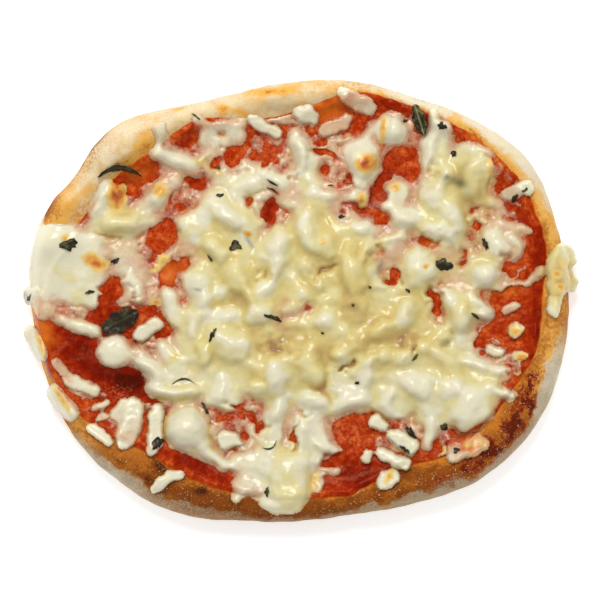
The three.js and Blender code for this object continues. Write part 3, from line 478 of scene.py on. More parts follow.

# The rim's finish at every 15 degrees from the right end: [millimetres of flour from the outline inwards, how
# thick the flour is, toasting at the outline, halfway, and beside the sauce, stain beside the sauce].
# The toasting on the near side, from 225 to 345 degrees, is set high partly as painted shade.
RIM_FINISH = [
    # 0, the right end
    [0, 0, 0.7, 0.55, 0.6, 0.4], [0.8, 0.4, 0.45, 0.45, 0.65, 0.4], [4.2, 1, 0.04, 0.04, 0.32, 0.4],
    # 45
    [3, 1, 0.02, 0.16, 0.4, 0.35], [2.6, 0.9, 0.04, 0.08, 0.34, 0.4], [1, 0.4, 0.12, 0.12, 0.2, 0.3],
    # 90, the far side
    [0.8, 0.3, 0.2, 0.16, 0.04, 0], [1.6, 0.5, 0.12, 0.04, 0.02, 0], [3, 0.6, 0.08, 0.02, 0.1, 0.2],
    # 135
    [5, 0.55, 0.28, 0.06, 0.34, 0.2], [5, 0.55, 0.36, 0.12, 0.24, 0.2], [0, 0, 0.6, 0.45, 0.2, 0.3],
    # 180, the left end
    [0.6, 0.3, 0.35, 0.35, 0.4, 0.6], [0, 0, 0.5, 0.5, 0.5, 1], [0.5, 0.3, 0.6, 0.6, 0.7, 0.3],
    # 225
    [4.2, 1.1, 0.6, 0.95, 0.85, 0.3], [3.6, 0.7, 0.75, 1.1, 1.15, 0.3], [1.8, 0.6, 0.85, 1.15, 1.15, 0.3],
    # 270, the near side
    [1.2, 0.6, 0.9, 1.15, 1.1, 0.3], [1.2, 0.8, 0.85, 0.98, 1, 0.4], [2.6, 0.9, 0.85, 1, 1.15, 0.3],
    # 315
    [1.4, 0.8, 0.8, 0.95, 0.85, 0.4], [2.4, 0.9, 0.7, 0.95, 0.7, 0.4], [4.6, 1, 0.4, 0.5, 0.75, 0.5],
]


def round_values(rows, angles):
    """The rows, given at equal steps round the pizza, at any angles in degrees."""
    table = np.array(rows + rows[:1], float)
    steps = np.linspace(0, 360, len(table))
    return [np.interp(np.mod(angles, 360), steps, column) for column in table.T]


def soften_rings(grid, columns, rings):
    """A grid of values round the pizza, softened by bell curves of that many columns and rings."""
    spectrum = np.fft.fft(grid, axis=0)
    turns = np.fft.fftfreq(grid.shape[0])[:, None]
    soft = np.real(np.fft.ifft(spectrum * np.exp(-2 * (math.pi * columns * turns) ** 2), axis=0))
    reach = int(3 * rings) + 1
    weights = np.exp(-0.5 * (np.arange(-reach, reach + 1) / rings) ** 2)
    padded = np.pad(soft, ((0, 0), (reach, reach)), mode="edge")
    return sum(w * padded[:, k : k + grid.shape[1]] for k, w in enumerate(weights)) / weights.sum()


def dough_rings():
    """Radius and height of the dough's skin from the underside's edge over the rim to the dish's middle."""
    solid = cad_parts["crust"]
    tree = BVHTree.FromObject(solid, bpy.context.evaluated_depsgraph_get())
    angles = np.arange(DOUGH_COLUMNS) * 360 / DOUGH_COLUMNS
    radius = np.zeros((DOUGH_COLUMNS, RIM_RINGS + SLOPE_RINGS + DISH_RINGS))
    height = np.zeros_like(radius)
    tilts = np.radians(np.linspace(LOWEST, OVER, RIM_RINGS))
    for k, angle in enumerate(np.radians(angles)):
        outwards = Vector((math.cos(angle), math.sin(angle), 0))
        starts = [outwards * FAR_OFF + Vector((0, 0, level * MM)) for level in LEVELS]
        edge = max(tree.ray_cast(start, -outwards)[0].length for start in starts)
        heart = outwards * (edge - HEART[0] * MM) + Vector((0, 0, HEART[1] * MM))
        for ring, tilt in enumerate(tilts):
            hit = tree.ray_cast(heart, outwards * math.cos(tilt) + Vector((0, 0, math.sin(tilt))))[0]
            radius[k, ring], height[k, ring] = hit.xy.length / MM, hit.z / MM
        inner = edge / MM - HEART[0]
        slope = inner - SLOPE * (np.arange(SLOPE_RINGS) + 1) / SLOPE_RINGS
        dish = slope[-1] * (1 - (np.arange(DISH_RINGS) + 1) / DISH_RINGS)
        for ring, r in enumerate(np.append(slope, dish)):
            hit = tree.ray_cast(outwards * r * MM + Vector((0, 0, HIGH_UP)), Vector((0, 0, -1)))[0]
            radius[k, RIM_RINGS + ring], height[k, RIM_RINGS + ring] = r, hit.z / MM
    return angles, radius, height


DENTS = [  # folds and bumps of the dough: [x, y, half length, half width, turn, height]
    [-6, 48.6, 5, 2.4, 5, -0.9], [-6, 52.6, 6, 1.4, 4, 0.4], [-62.1, 24.4, 4.5, 2.6, 50, 0.5],
    [-34.9, 45, 2.4, 5, -20, -0.3], [-57.5, 33, 3, 1.6, 40, -0.5],
]
relief = 0.05 * mottle(1, 2.0) + 0.08 * mottle(2, 5) + 0.12 * mottle(3, 12) + spots(DENTS)
dough_raw = height_map("crust")
on_dough = np.isfinite(dough_raw)
edge_band = on_dough & (blur(on_dough, 0.7) < 0.8)
beyond = blur_inside(dough_raw, edge_band, 2.0)  # carries on outside the outline, under hanging cheese,
beyond -= 4.0 * np.maximum(0.5 - blur(on_dough, 1.2), 0)  # and droops there
dough_top = np.where(on_dough, blur_inside(dough_raw, on_dough, 0.7), beyond) + relief


def make_dough(material):
    angles, radius, height = dough_rings()
    radius, height = soften_rings(radius, 3.0, 1.2), soften_rings(height, 3.0, 1.2)
    radius[:, -1], height[:, -1] = 0, height[:, -1].mean()
    edge = radius.max(axis=1, keepdims=True)
    inwards = ramp(edge - radius, 0.6, 3.0)
    rng = np.random.default_rng(7)
    skin = np.zeros_like(radius)
    for size, rise in BUMPS:
        lumps = soften_rings(rng.standard_normal(radius.shape), size, size)
        skin += rise * lumps / lumps.std()
    lean = np.gradient(height, axis=1), -np.gradient(radius, axis=1)
    length = np.hypot(*lean) + 1e-9
    turn = np.radians(angles)[:, None]
    top_relief = inwards * sample(relief, radius * np.cos(turn), radius * np.sin(turn))
    radius += (1 - inwards) * skin * lean[0] / length
    height = np.maximum(height + (1 - inwards) * skin * lean[1] / length + top_relief, 0)
    height[:, -1] = height[:, -1].mean()

    under = np.linspace(0, 1, UNDER_RINGS, endpoint=False)[None, :] * radius[:, :1]
    radius = np.concatenate([under, radius], axis=1)
    height = np.concatenate([np.zeros_like(under), height], axis=1)
    rings = radius.shape[1]
    x, y = radius * np.cos(turn), radius * np.sin(turn)

    middle_under, middle_top = DOUGH_COLUMNS * rings, DOUGH_COLUMNS * rings + 1
    middles = [[0, 0, 0], [0, 0, height[0, -1]]]
    points = np.concatenate([np.stack([x, y, height], axis=2).reshape(-1, 3), middles])
    k = np.arange(DOUGH_COLUMNS)[:, None] * rings
    after = (np.arange(DOUGH_COLUMNS)[:, None] + 1) % DOUGH_COLUMNS * rings
    ring = np.arange(1, rings - 2)[None, :]
    faces = np.stack([k + ring, after + ring, after + ring + 1, k + ring + 1], axis=2).reshape(-1, 4).tolist()
    for here, there in zip(k[:, 0].tolist(), after[:, 0].tolist()):
        faces.append([middle_under, there + 1, here + 1])
        faces.append([middle_top, here + rings - 2, there + rings - 2])

    passed = np.arange(rings)[None, :] < UNDER_RINGS + radius[:, UNDER_RINGS:].argmax(axis=1)[:, None]
    inset = np.where(passed, 0, edge - radius)
    finish = (column[:, None] for column in round_values(RIM_FINISH, angles))
    dusted, thickness, outside, halfway, inside, stain = finish
    bare = np.maximum(edge - sauce_reach(angles)[:, None], 1.5)
    share = inset / bare
    wobble = 0.9 * sample(mottle(31, 4), x, y) + 0.5 * sample(mottle(32, 1.4), x, y)
    flour = thickness * ramp(dusted + 0.7 * wobble - inset, -0.8, 0.8)
    # Toasting round the rim, which on the near side is partly painted shade.
    toast = outside + (halfway - outside) * ramp(share, 0, 0.5) + (inside - halfway) * ramp(share, 0.5, 1)
    toasted = sample(spots(TOAST_SPOTS), x, y)
    values = {
        "flour": flour * (1 - ramp(toasted, 0.1, 0.5)) + sample(spots(FLOUR_SPOTS), x, y),
        "toast": toast + toasted,
        "stain": stain * ramp(share + 0.1 * wobble, 0.74, 1.08) * (share > 0.4),
        "speckle": sample(spots(SPECKLES), x, y),
        "burnt": sample(sauce_values["burnt"], x, y),
    }
    flat = {field: np.append(numbers.ravel(), [0, 0]) for field, numbers in values.items()}
    new_piece("crust_baked", points, faces, flat, material, ["crust"])


# Finish of the dough in places: [x, y, half length, half width, turn, strength].
TOAST_SPOTS = [
    [-65.4, 23, 5, 1.3, 56, 0.5], [-58.6, 32.8, 4.6, 0.9, 52, 0.45], [-51.4, 41.6, 6.5, 0.9, 46, 0.4],
    [-60, 23.6, 6, 2, 45, 0.1], [-19.5, 48.9, 1.8, 1.3, 0, 0.5], [-15.5, 48.2, 2.6, 0.8, -20, 0.35],
    [-7.4, 53.4, 5, 1.1, 4, 0.45], [-31, 49, 2.4, 0.8, 20, 0.35], [-40, 41, 2.8, 6, -30, 0.26],
    [-36.5, 46, 1.4, 1.4, -25, 0.2], [-35.8, -42.8, 2.2, 1.4, -35, 0.6], [-38.7, -46.1, 1.6, 1.2, -35, 0.4],
    [-25.3, -49, 2, 1.2, -10, 0.5], [44, 43.5, 9, 1, -42, 0.3], [-69.4, 15, 3, 5, 0, -0.5],
    [-22.6, 45.2, 4, 0.9, 20, 0.15], [-14, 46.6, 2.6, 0.8, 10, 0.25], [9, 54.4, 5, 0.8, -2, 0.25],
    [-67.5, -12, 1.2, 3, 10, 0.3], [-62, -27, 1.4, 3.6, 28, 0.3], [-55.6, 38.2, 1.5, 6.5, -35, 0.4],
]
SPECKLES = [
    [-54.8, 37.4, 2.6, 7, -35, 1], [-50, 46, 9, 2, 32, 1.1], [-63.6, 27.6, 2, 4.5, -35, 0.6],
    [-20, 54.4, 14, 1.6, 10, 0.6], [14, 55.5, 8, 1.4, -4, 0.5], [-55, -40, 8, 4, -45, 0.5],
    [-30, -53, 20, 2.4, -12, 0.5], [10, -55.5, 24, 2, 0, 0.5], [48, -48, 16, 3, 40, 0.4],
    [-55.5, 40, 2.6, 6, -40, 0.8],
]
FLOUR_SPOTS = [
    [48, -46, 12, 2, 40, 0.4], [-46, -47, 6, 1.4, -38, 0.3], [-52, 41, 5, 3, 40, 0.3],
    [-69.4, 15, 3, 5, 0, 1], [65, -22, 2.6, 6, -20, 1], [36.8, -48, 6, 1.6, 32, 0.6],
    [-52.4, -40.8, 8, 2, -45, 0.7],
]


# ---------------------------------------------------------------- the sauce

sauce_raw = height_map("tomato_sauce")
on_sauce = np.isfinite(sauce_raw)


def sauce_reach(angles):
    """How far from the middle the sauce runs, at angles in degrees."""
    radii = np.arange(40, 72, 0.25)
    turn = np.radians(angles)[:, None]
    covered = sample(blur(on_sauce, 0.8), radii * np.cos(turn), radii * np.sin(turn))
    moved = round_values(SAUCE_RUN, angles)[0]
    return radii[0] + 0.25 * np.clip((covered - 0.3) / 0.4, 0, 1).sum(axis=1) + moved


# Sauce that ran or splashed past its edge, and bare places: [x, y, half length, half width, turn, strength].
SPLASHES = [
    [55, 36.5, 1.6, 1.2, 40, 1.6], [-65.8, -6, 6, 1.4, -75, 0.8], [-63, -18, 5, 1.4, -62, 0.8],
    [-57.5, 22.5, 4, 3, 20, -1.8], [-45, 38, 6, 1.4, 36, -1.4], [64.2, -20, 1.4, 5, 0, -1.4],
]
POOLS = [  # thick, dark and smooth
    [-57, -11.5, 6.5, 6.5, 0, 0.9], [-44.5, -20.5, 9, 4.2, -20, 1.6], [16.5, -45.2, 7.5, 4.4, -4, 1],
    [-26, -42.5, 9, 2.2, -26, 0.8], [61, -8, 2.4, 10, 4, 0.8], [61.5, 13, 2.4, 8, 0, 0.6],
    [20, 30, 2.5, 8, -30, 0.45], [-52, -3, 3, 3, 0, 0.35], [36, 48, 5, 2.5, -30, 0.9],
    [22, 50.5, 9, 1.6, -12, 0.6], [-26.4, 30.9, 4, 3, 0, 0.5], [-8, 23, 1.6, 4, -20, 0.8],
    [41, -34, 3, 3, 0, 0.5], [-47, -3, 2.4, 5, 20, 0.4], [-38, -14.6, 5, 1.6, -40, 0.8],
]
OILY = [  # thin and orange
    [-67, -7, 2, 6, 15, 0.6], [-65, -9, 2.4, 4.4, 15, 0.55], [-61.6, -23, 2, 6, 30, 0.5],
    [-41, 33, 6, 3.4, 20, 0.6], [8, 49, 8, 4, 20, 0.75], [46, 43, 13, 2.6, -42, 1],
    [59, 32, 8, 2.4, -55, 0.8], [52, 2.5, 9, 2.4, 10, 0.5], [-33, 7, 5, 3, 20, 0.7],
    [-29, 33, 6, 3, -20, 0.4], [34, 13.5, 3, 3, 0, 0.8], [26, 42, 3, 6, 0, 0.3], [60, -22, 4, 8, 10, 0.3],
    [48, -40, 9, 2.4, 42, 0.4], [43, -37.6, 6, 3, 20, 0.9],
]
PULPY = [  # granular, with pale specks of pulp that also stand in for glints as painted highlight
    [-18, -31, 9, 4, 0, 0.9], [11.5, -34.2, 6, 4, -10, 1], [-45.9, -24.4, 6, 2.4, -30, 0.8],
    [-7.5, 37.5, 4.5, 4.5, 0, 0.4], [25, 36, 6, 7, 0, 0.4], [54, -6, 5, 4, 0, 0.3],
]
BURNT = [
    [59, -21.6, 3.6, 2.2, 70, 1.2], [57.4, -27.8, 4.2, 2.4, 64, 1.4], [53.6, -33.2, 4.6, 2.6, 56, 1.5],
    [49, -38.2, 4.8, 2.5, 46, 1.5], [43.4, -42.4, 4, 1.8, 42, 1], [36, -46.2, 2.2, 1.3, 34, 1.2],
    [57, -17, 6, 1, 62, 0.5], [-47.5, 33.6, 4, 0.8, 40, 0.3], [29, 52.5, 9, 0.8, -22, 0.6],
]
# How far the sauce's edge runs out past its solid, or stays back, at every 15 degrees from the right end.
SAUCE_RUN = [
    [-1], [0.6], [1.9], [0.6], [-0.6], [0.4], [0], [-1.2], [1.4], [0.5], [0], [0],
    [1], [2], [0.8], [0.6], [0.8], [0.5], [0], [0.6], [-3.4], [-1.6], [0], [-0.6],
]
far_out = np.maximum(np.hypot(GX, GY), 1)
run = round_values(SAUCE_RUN, np.degrees(np.arctan2(GY, GX)))[0] * ramp(far_out, 20, 45)
spilt = sample(on_sauce, GX * (1 - run / far_out), GY * (1 - run / far_out))
wander = 0.5 * mottle(11, 6) + 0.35 * mottle(12, 2.2)
sauce_depth = 3.4 * (blur(spilt, 1.3) - 0.5) + 0.28 * wander + spots(SPLASHES)
sauce_depth = np.clip(sauce_depth, -0.6, 1.35) + 0.1
well_inside = blur(on_dough, 0.8)
sauce_depth = np.minimum(sauce_depth, 7.0 * well_inside - 5.6)  # runs out before the pizza's outline
pulp_relief = 0.03 * mottle(13, 1.4) + 0.02 * mottle(14, 0.9) + 0.06 * mottle(15, 4.5)
pulp_relief += 0.05 * mottle(16, 1.2) * ramp(spots(PULPY), 0.2, 0.8)
pulp_relief *= 1 - 0.7 * ramp(spots(POOLS), 0.3, 0.9)
sauce_top = dough_top + sauce_depth + pulp_relief * ramp(sauce_depth, 0.1, 0.9)
bed = np.maximum(dough_top, sauce_top)
sauce_values = {
    "deep": spots(POOLS),
    "oily": spots(OILY),
    "pulp": spots(PULPY),
    "burnt": spots(BURNT) * (0.82 + 0.36 * mottle(17, 2.4) + 0.2 * mottle(18, 1.0)),
}


# ---------------------------------------------------------------- the cheese

LOOSE = sorted(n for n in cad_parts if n.startswith("cheese_"))
HANGING = ["cheese_edge_left", "cheese_edge_near_left"]  # pieces that hang over the rim
HANGING_DEPTH = 1.8  # the most that cheese has outside the dough
shift_x = 0.28 * mottle(21, 3.2) + 0.12 * mottle(22, 1.4)
shift_y = 0.28 * mottle(23, 3.2) + 0.12 * mottle(24, 1.4)


def uneven(rows):
    """spots with wandering outlines."""
    return sample(spots(rows), GX + 2.6 * shift_x, GY + 2.6 * shift_y)


def cheese_depth(names, warp, soft, grow):
    """How thick the named solids of cheese are over their bed, with wandering outlines and soft edges."""
    depth = np.maximum(height_map(*names), bed) - bed
    depth = np.where(on_dough, depth, np.minimum(depth, HANGING_DEPTH))
    x, y = GX + warp * shift_x, GY + warp * shift_y
    around = [(grow * math.cos(turn), grow * math.sin(turn)) for turn in np.arange(8) * math.pi / 4]
    return blur(np.max([sample(depth, x + dx, y + dy) for dx, dy in around], axis=0), soft)


# Shreds and lumps that show in the melted cheese: [x, y, length, width, turn, bend, lift, tone]. Lift is how
# far they stand out, and tone runs from white, below 0, to yellow.
SHREDS = [
    [-59, 14, 20, 12.5, -4, 0, 0.3, -0.25], [-45.7, 20.1, 11.2, 6, -3, 0, 0.8, 0.22],
    [-50.5, 25, 8, 4.6, 62, 0, 0.3, -0.1], [-33, 36.2, 13, 5, -22, 0, 0.5, -0.15],
    [-36.4, 26.8, 7, 4.6, 70, 0, 0.4, 0.1], [-43, 2, 13, 4, -68, 0.6, 0.2, -0.1],
    [-36.5, -2, 10, 3.4, -58, 0, 0.3, -0.1], [-28, 19, 9, 6, -30, 0, 0.3, 0],
    [-20.5, 22.5, 12, 7, -42, 0, 0.4, 0.05], [-17.5, 36, 9, 6, 10, 0, 0.3, -0.1],
    [-25.5, 40.5, 8, 4, 60, 0.5, 0.3, -0.1], [-9.3, 44.4, 10.5, 3, -30, 0.4, 0.4, 0],
    [-5.6, 45.4, 6, 2.4, -24, 0, 0.4, 0], [0.5, 46.3, 7.5, 6, 10, 0, 0.3, -0.1],
    [-0.1, 36.5, 10, 4.2, 82, 0, 0.5, -0.1], [-21.8, 13.1, 8, 5.4, -50, 0, 0.5, 0.1],
    [-24.5, 12.6, 3.4, 2.6, 60, 0, 0.6, 0.2], [-25.2, 2.4, 9.5, 7.4, -75, 0, 0.3, -0.15],
    [-15, 3.6, 12, 5.6, -55, 0, 0.4, 0.2], [-5.4, 15, 8.4, 6.2, 75, 0, 0.7, 0],
    [-6, 9, 9, 5, 60, 0, 0.4, 0.1], [2.6, 17.5, 13, 5.8, -74, 0, 0.9, 0.1],
    [7, 14.5, 9, 6, -60, 0, 0.8, 0.2], [3, 6, 10, 4.2, -50, 0.4, 0.4, 0.1],
    [13, 8.5, 15, 6.4, -78, 0.4, 0.8, 0.15], [16.3, 12.2, 4.6, 2.2, 85, 0, 0.8, 0.15],
    [15.3, 18.1, 6, 4.4, 20, 0, 0.3, 0], [23.1, 16.2, 5.4, 2.6, 12, 0, 0.6, 0.2],
    [20.9, 14.6, 3, 2, -60, 0, 0.6, 0.4], [8, -6.5, 11, 6.4, -62, 0, 0.3, -0.1],
    [14, -2.5, 9, 6, 70, 0, 0.5, 0.2], [-10, -3.2, 8.6, 5.4, 20, 0, 0.7, -0.05],
    [-18.4, -10.5, 12, 9, -50, 0, 0.7, 0], [-24.6, -13, 8.4, 4.4, 84, 0, 0.5, 0.2],
    [-27, -6, 9, 5.6, 80, 0, 0.3, -0.05], [-5.6, -19.5, 12, 6.6, 78, 0, 0.6, 0.1],
    [2.6, -16, 12.5, 7.6, -66, 0, 0.8, 0.15], [11.5, -12.5, 9, 5.4, 26, 0.4, 0.6, 0.2],
    [16, -16.5, 8.6, 3.4, 40, 0, 0.4, 0.1], [22, -7.5, 10, 7, 15, 0, 0.3, 0.3],
    [27, -4, 9, 5, 70, 0, 0.4, 0], [24.5, -14.5, 10, 5, -10, 0, 0.5, 0.1],
    [30.4, -21.6, 10.5, 8, -20, 0, 0.5, -0.15], [16.5, -20.5, 7, 4, 80, 0, 0.3, -0.2],
    [3.1, -25.5, 9, 5.4, -20, 0, 0.4, -0.2], [-4.5, -27, 10, 4.4, 60, 0, 0.3, -0.1],
    [13.5, -25.8, 10, 5.2, 12, 0, 0.4, -0.2], [22.5, -25.5, 7, 3.4, 70, 0, 0.4, -0.1],
    [31, 8, 10.5, 8.6, -60, 0, 0.6, -0.05], [33.5, 17, 10, 5, 30, 0, 0.4, 0],
    [26, 20, 8, 4.4, -18, 0, 0.3, 0], [37.5, 2, 9, 5, -64, 0, 0.4, -0.1],
    [41.5, -4.6, 9, 5.6, -74, 0, 0.7, 0.25], [46.4, -5, 8, 3.2, -24, 0, 0.6, 0.1],
    [47.4, 6.3, 7.4, 6.2, 30, 0, 0.5, -0.25], [46, 1.5, 7, 4, -70, 0, 0.3, -0.15],
    [49.1, -13, 6, 3.4, -15, 0, 0.5, 0], [44.2, -16, 9, 3.2, -18, 0, 0.5, -0.1],
    [52.7, -18, 6.6, 3.2, -12, 0, 0.5, -0.2], [51, -23, 9.6, 3.4, -28, 0, 0.6, -0.05],
    [44.5, -29, 17, 10.5, 52, 0, 0.6, 0], [38, -22.5, 9, 6, 20, 0, 0.5, -0.1],
    [37.5, -15, 9, 5, -36, 0, 0.4, 0.1], [44, 30, 12, 6, 80, 0, 0.5, 0.15], [36, 29, 12, 6, 70, 0, 0.4, 0],
    [40, 22, 12, 6, -50, 0, 0.4, 0.05], [49, 31, 9, 5, 78, 0, 0.5, 0.1],
    [33.5, 40, 14, 4, 72, 0.5, 0.4, -0.1], [16, 35, 9, 8.4, 20, 0, 0.6, -0.05],
    [14.8, 27.5, 8, 5, 84, 0, 0.4, -0.1], [22, 44, 8, 3, 84, 0, 0.4, 0.1],
    [24.8, 43.4, 6, 4.4, 80, 0, 0.3, -0.2], [9.4, 45.6, 8, 2.8, 60, 0.8, 0.4, -0.1],
    [5, 27, 8, 5, -20, 0, 0.2, -0.1], [-7, 31.5, 9, 5, -32, 0, 0.2, -0.1],
    [-14, 28.5, 10, 6, 14, 0, 0.3, 0], [50, 14, 9, 5, -40, 0, 0.4, -0.1],
    [57, 14.5, 7, 3, -30, 0, 0.3, -0.1], [-28.6, -33.3, 11, 10, 0, 0, 0.6, -0.15],
    [-33.8, -23.1, 16, 3.8, -6, -0.8, 0.6, 0.35], [-38.5, -18.5, 9, 5, -40, 0, 0.4, -0.1],
    [-21.5, -40.5, 13, 5, -38, 0, 0.3, -0.15], [-2.3, -45, 15, 13, 82, 0, 0.6, 0.1],
    [-1, -34, 14, 7, 78, 0, 0.4, 0], [-8.5, -41, 9, 4.6, 60, 0, 0.4, -0.1],
    [6.2, -37.5, 7, 4.4, -30, 0, 0.4, -0.1], [-12.5, -25, 10, 5, 60, 0, 0.4, 0.1],
    [24.5, -30.5, 8, 3, -42, 0, 0.4, -0.2], [33.5, -33.5, 8, 3.4, 76, 0, 0.4, -0.2],
]
HOLES = [  # [x, y, half length, half width, turn, depth]
    [-9.3, 6.8, 2, 1.7, 0, 1.1], [19.6, 13.4, 2.2, 2, 0, 1.4], [24.5, 5.2, 2.2, 1, -8, 2.2],
    [6.6, 8.4, 3, 1.2, 20, 1.5], [-6, -10.9, 3, 2, 20, 1], [11.3, -17, 1.4, 0.8, 40, 1.8],
    [-0.5, 32.5, 1, 0.8, 0, 1.6], [-19.5, 42.1, 1.4, 1, 0, 1.2], [-35.9, 16.8, 3.4, 3.8, 30, 2],
    [-49.4, 16.6, 3.4, 0.7, -22, 1.2], [-34, 7, 4, 2.6, 24, 1.2], [-41.6, 13, 1, 0.8, 0, 0.8],
    [34.2, 14.6, 2.3, 2.3, 40, 3], [21, 20.5, 3, 1, 10, 1], [-8, 22.6, 0.8, 2.8, -14, 1.4],
    [-13, 24.6, 1, 1.8, -24, 1.4], [-3, -14, 1.2, 3, 30, 0.8], [8.4, -20.8, 1, 2.4, 10, 0.7],
    [29.4, -13, 2.6, 0.8, 60, 0.7], [38.6, -10.5, 2.4, 1.6, 30, 1], [33.6, 33.8, 1, 2.4, 0, 1],
    [-17.2, 36.4, 2.4, 3.6, 0, 3], [-23.4, 34.6, 2, 2, 0, 2.4], [-8, 36.4, 1.4, 2, 0, 2],
    [5.4, 38.2, 3, 1.2, -10, 2.2], [8.4, 45.4, 1.6, 1, 30, 1.8], [12.6, 28.8, 3.2, 1, -10, 1.6],
    [14, 23.4, 3, 1, 0, 1.6], [20.4, 27.4, 1.4, 4, -24, 2.4], [-50.2, -0.4, 1.3, 2.8, -10, 3],
    [-46.8, 5, 1, 2.6, -20, 1.2], [-10, -33.2, 1.3, 1.9, 0, 2.6], [-1.4, -35, 0.8, 3.6, -8, 2.4],
    [1.4, -29.2, 1.6, 1, 0, 2], [-16.8, -26.8, 1.3, 0.9, 0, 2], [7.4, -41.2, 2.4, 1.6, 0, 3],
    [34.6, -0.6, 1.4, 2.6, 20, 1.8], [42.4, 11.4, 1.2, 2.4, 0, 1.6], [52, 9.6, 2.2, 1.2, 10, 2.4],
    [46.4, -11.6, 1.4, 2, 0, 1.8], [53, -21, 1.6, 1.6, 0, 1.2], [48, 36, 1, 2, 20, 1],
    [54, 2.6, 4, 0.9, 4, 2], [34.4, 1, 1.4, 2.4, 10, 1.6], [-43, 1.4, 1.2, 1.2, 0, 1.4],
    [-30.4, 10.8, 1.4, 2, 0, 1.2],
]
CLEAR_AND_SHADED = [  # cheese as thick as ever, but clear enough to show what is under it; in some places this darkens it as painted shade
    [14, 30, 13, 8, 0, 0.45], [-33, 32, 9, 8, 0, 0.35], [46, 4, 10, 12, 0, 0.35], [-60, 4, 8, 8, 0, -0.8],
    [-54, -8, 6, 3, -20, -0.4], [53, -20, 5, 7, 0, 0.5], [-45.9, -35, 4, 5, 0, 0.4],
    [-38.6, -36, 2.4, 5, 0, 0.4], [-54, -22, 5, 2.4, -30, 0.1], [-52.5, -38, 4, 2.4, -30, 0.8],
    [-43.1, 29.9, 1.8, 2.6, 0, 0.6], [-33, 22, 4, 5, 20, 0.9], [-39.5, 11, 4.5, 5, 0, 0.6],
    [-44, -2, 4, 6, 0, 0.7], [-30.5, 0.5, 4, 3, 0, 0.6], [-24, 33.5, 5, 2.4, -10, 0.6],
    [-9, 41.4, 3.4, 1.6, 0, 0.9], [-6, 28, 5, 3, 0, 0.7], [7, 28, 3.4, 3.4, 0, 0.9],
    [-2, -4, 4.6, 5, -30, 1.6], [1, 0, 4, 3, 30, 1.2], [20, 9.5, 2.6, 5, 0, 0.7], [25, 11, 3.6, 3, 0, 0.5],
    [24, 24, 5, 3, 0, 0.7], [17, -20.5, 2.4, 3, 0, 1.2], [52, 17, 4, 3, -30, 0.6],
    [47, -30, 2, 1.4, 0, 0.4], [44.4, -37, 8, 4.4, 20, 2.6], [-35.6, 41.4, 1.6, 4.6, 0, 0.9],
    [-41, -31, 2.4, 4, -20, 0.5], [7, -24, 3, 3, 0, 0.6], [54.5, -18.4, 1.6, 1.6, 0, 0.7],
    [-67, -10, 3, 5, 10, 0.8], [-61, -25, 3, 6, 24, 0.8], [-61.8, -17.8, 1.8, 3.2, 40, 0.8],
    [-64.3, -19.4, 1.2, 3.4, 30, -0.6], [16, 26, 5, 5, 0, 1.1], [13.6, 50.8, 5, 2.4, -28, 1.1],
    [8, 46, 5, 3.6, 0, 1], [32, 48, 2, 3, 0, 0.9], [-52, 6, 3, 3, 0, 0.6], [-57, -4, 6, 1.6, -10, 0.5],
    [53, 33, 2, 3, 0, 0.5], [54, 12, 4, 4, 0, 0.6], [12, 18, 3, 4, 0, 0.6], [8, 24, 8, 5, 0, 0.5],
    [-61, -4, 4, 3, 0, 1], [46, -7, 2, 3, 0, 0.6], [-30, 7, 2, 8, 0, 0.5], [-36, 28, 3.6, 4, 0, 0.9],
    [7, 51, 4, 1.4, 10, 0.8], [21.6, 40, 2.4, 4, 0, 1], [12, 43, 3, 3, 0, 0.6],
    [-44.6, 34.4, 5, 2.2, 20, 1.6], [-27.4, 26, 3, 3, 0, 1], [-14.6, 24, 1.6, 2, 0, 0.8],
    [0, 42, 1.6, 2, 0, 0.8], [50, 32, 1.6, 4, 0, 0.7], [46.6, 1.6, 1.8, 3, 0, 0.8],
    [34.8, 14.2, 3, 3.6, 30, 1.2], [54, -3, 2.4, 1.6, 0, 0.8], [25.4, 29.6, 2, 2, 0, 0.8],
    [-38.5, -6, 3.4, 2, 0, 0.8], [42, -33, 3, 1.6, 30, 0.6], [36.4, -3.4, 2, 1.6, 0, 0.7],
    [-41, -13, 5, 2, -30, 0.8], [-37.6, 8.6, 1.6, 1.6, 0, 0.7], [6.6, -38, 1.8, 5, 0, 0.9],
    [0.8, -31, 2.2, 2.2, 0, 1], [54, -23, 2.6, 2.6, 0, 0.8],
]
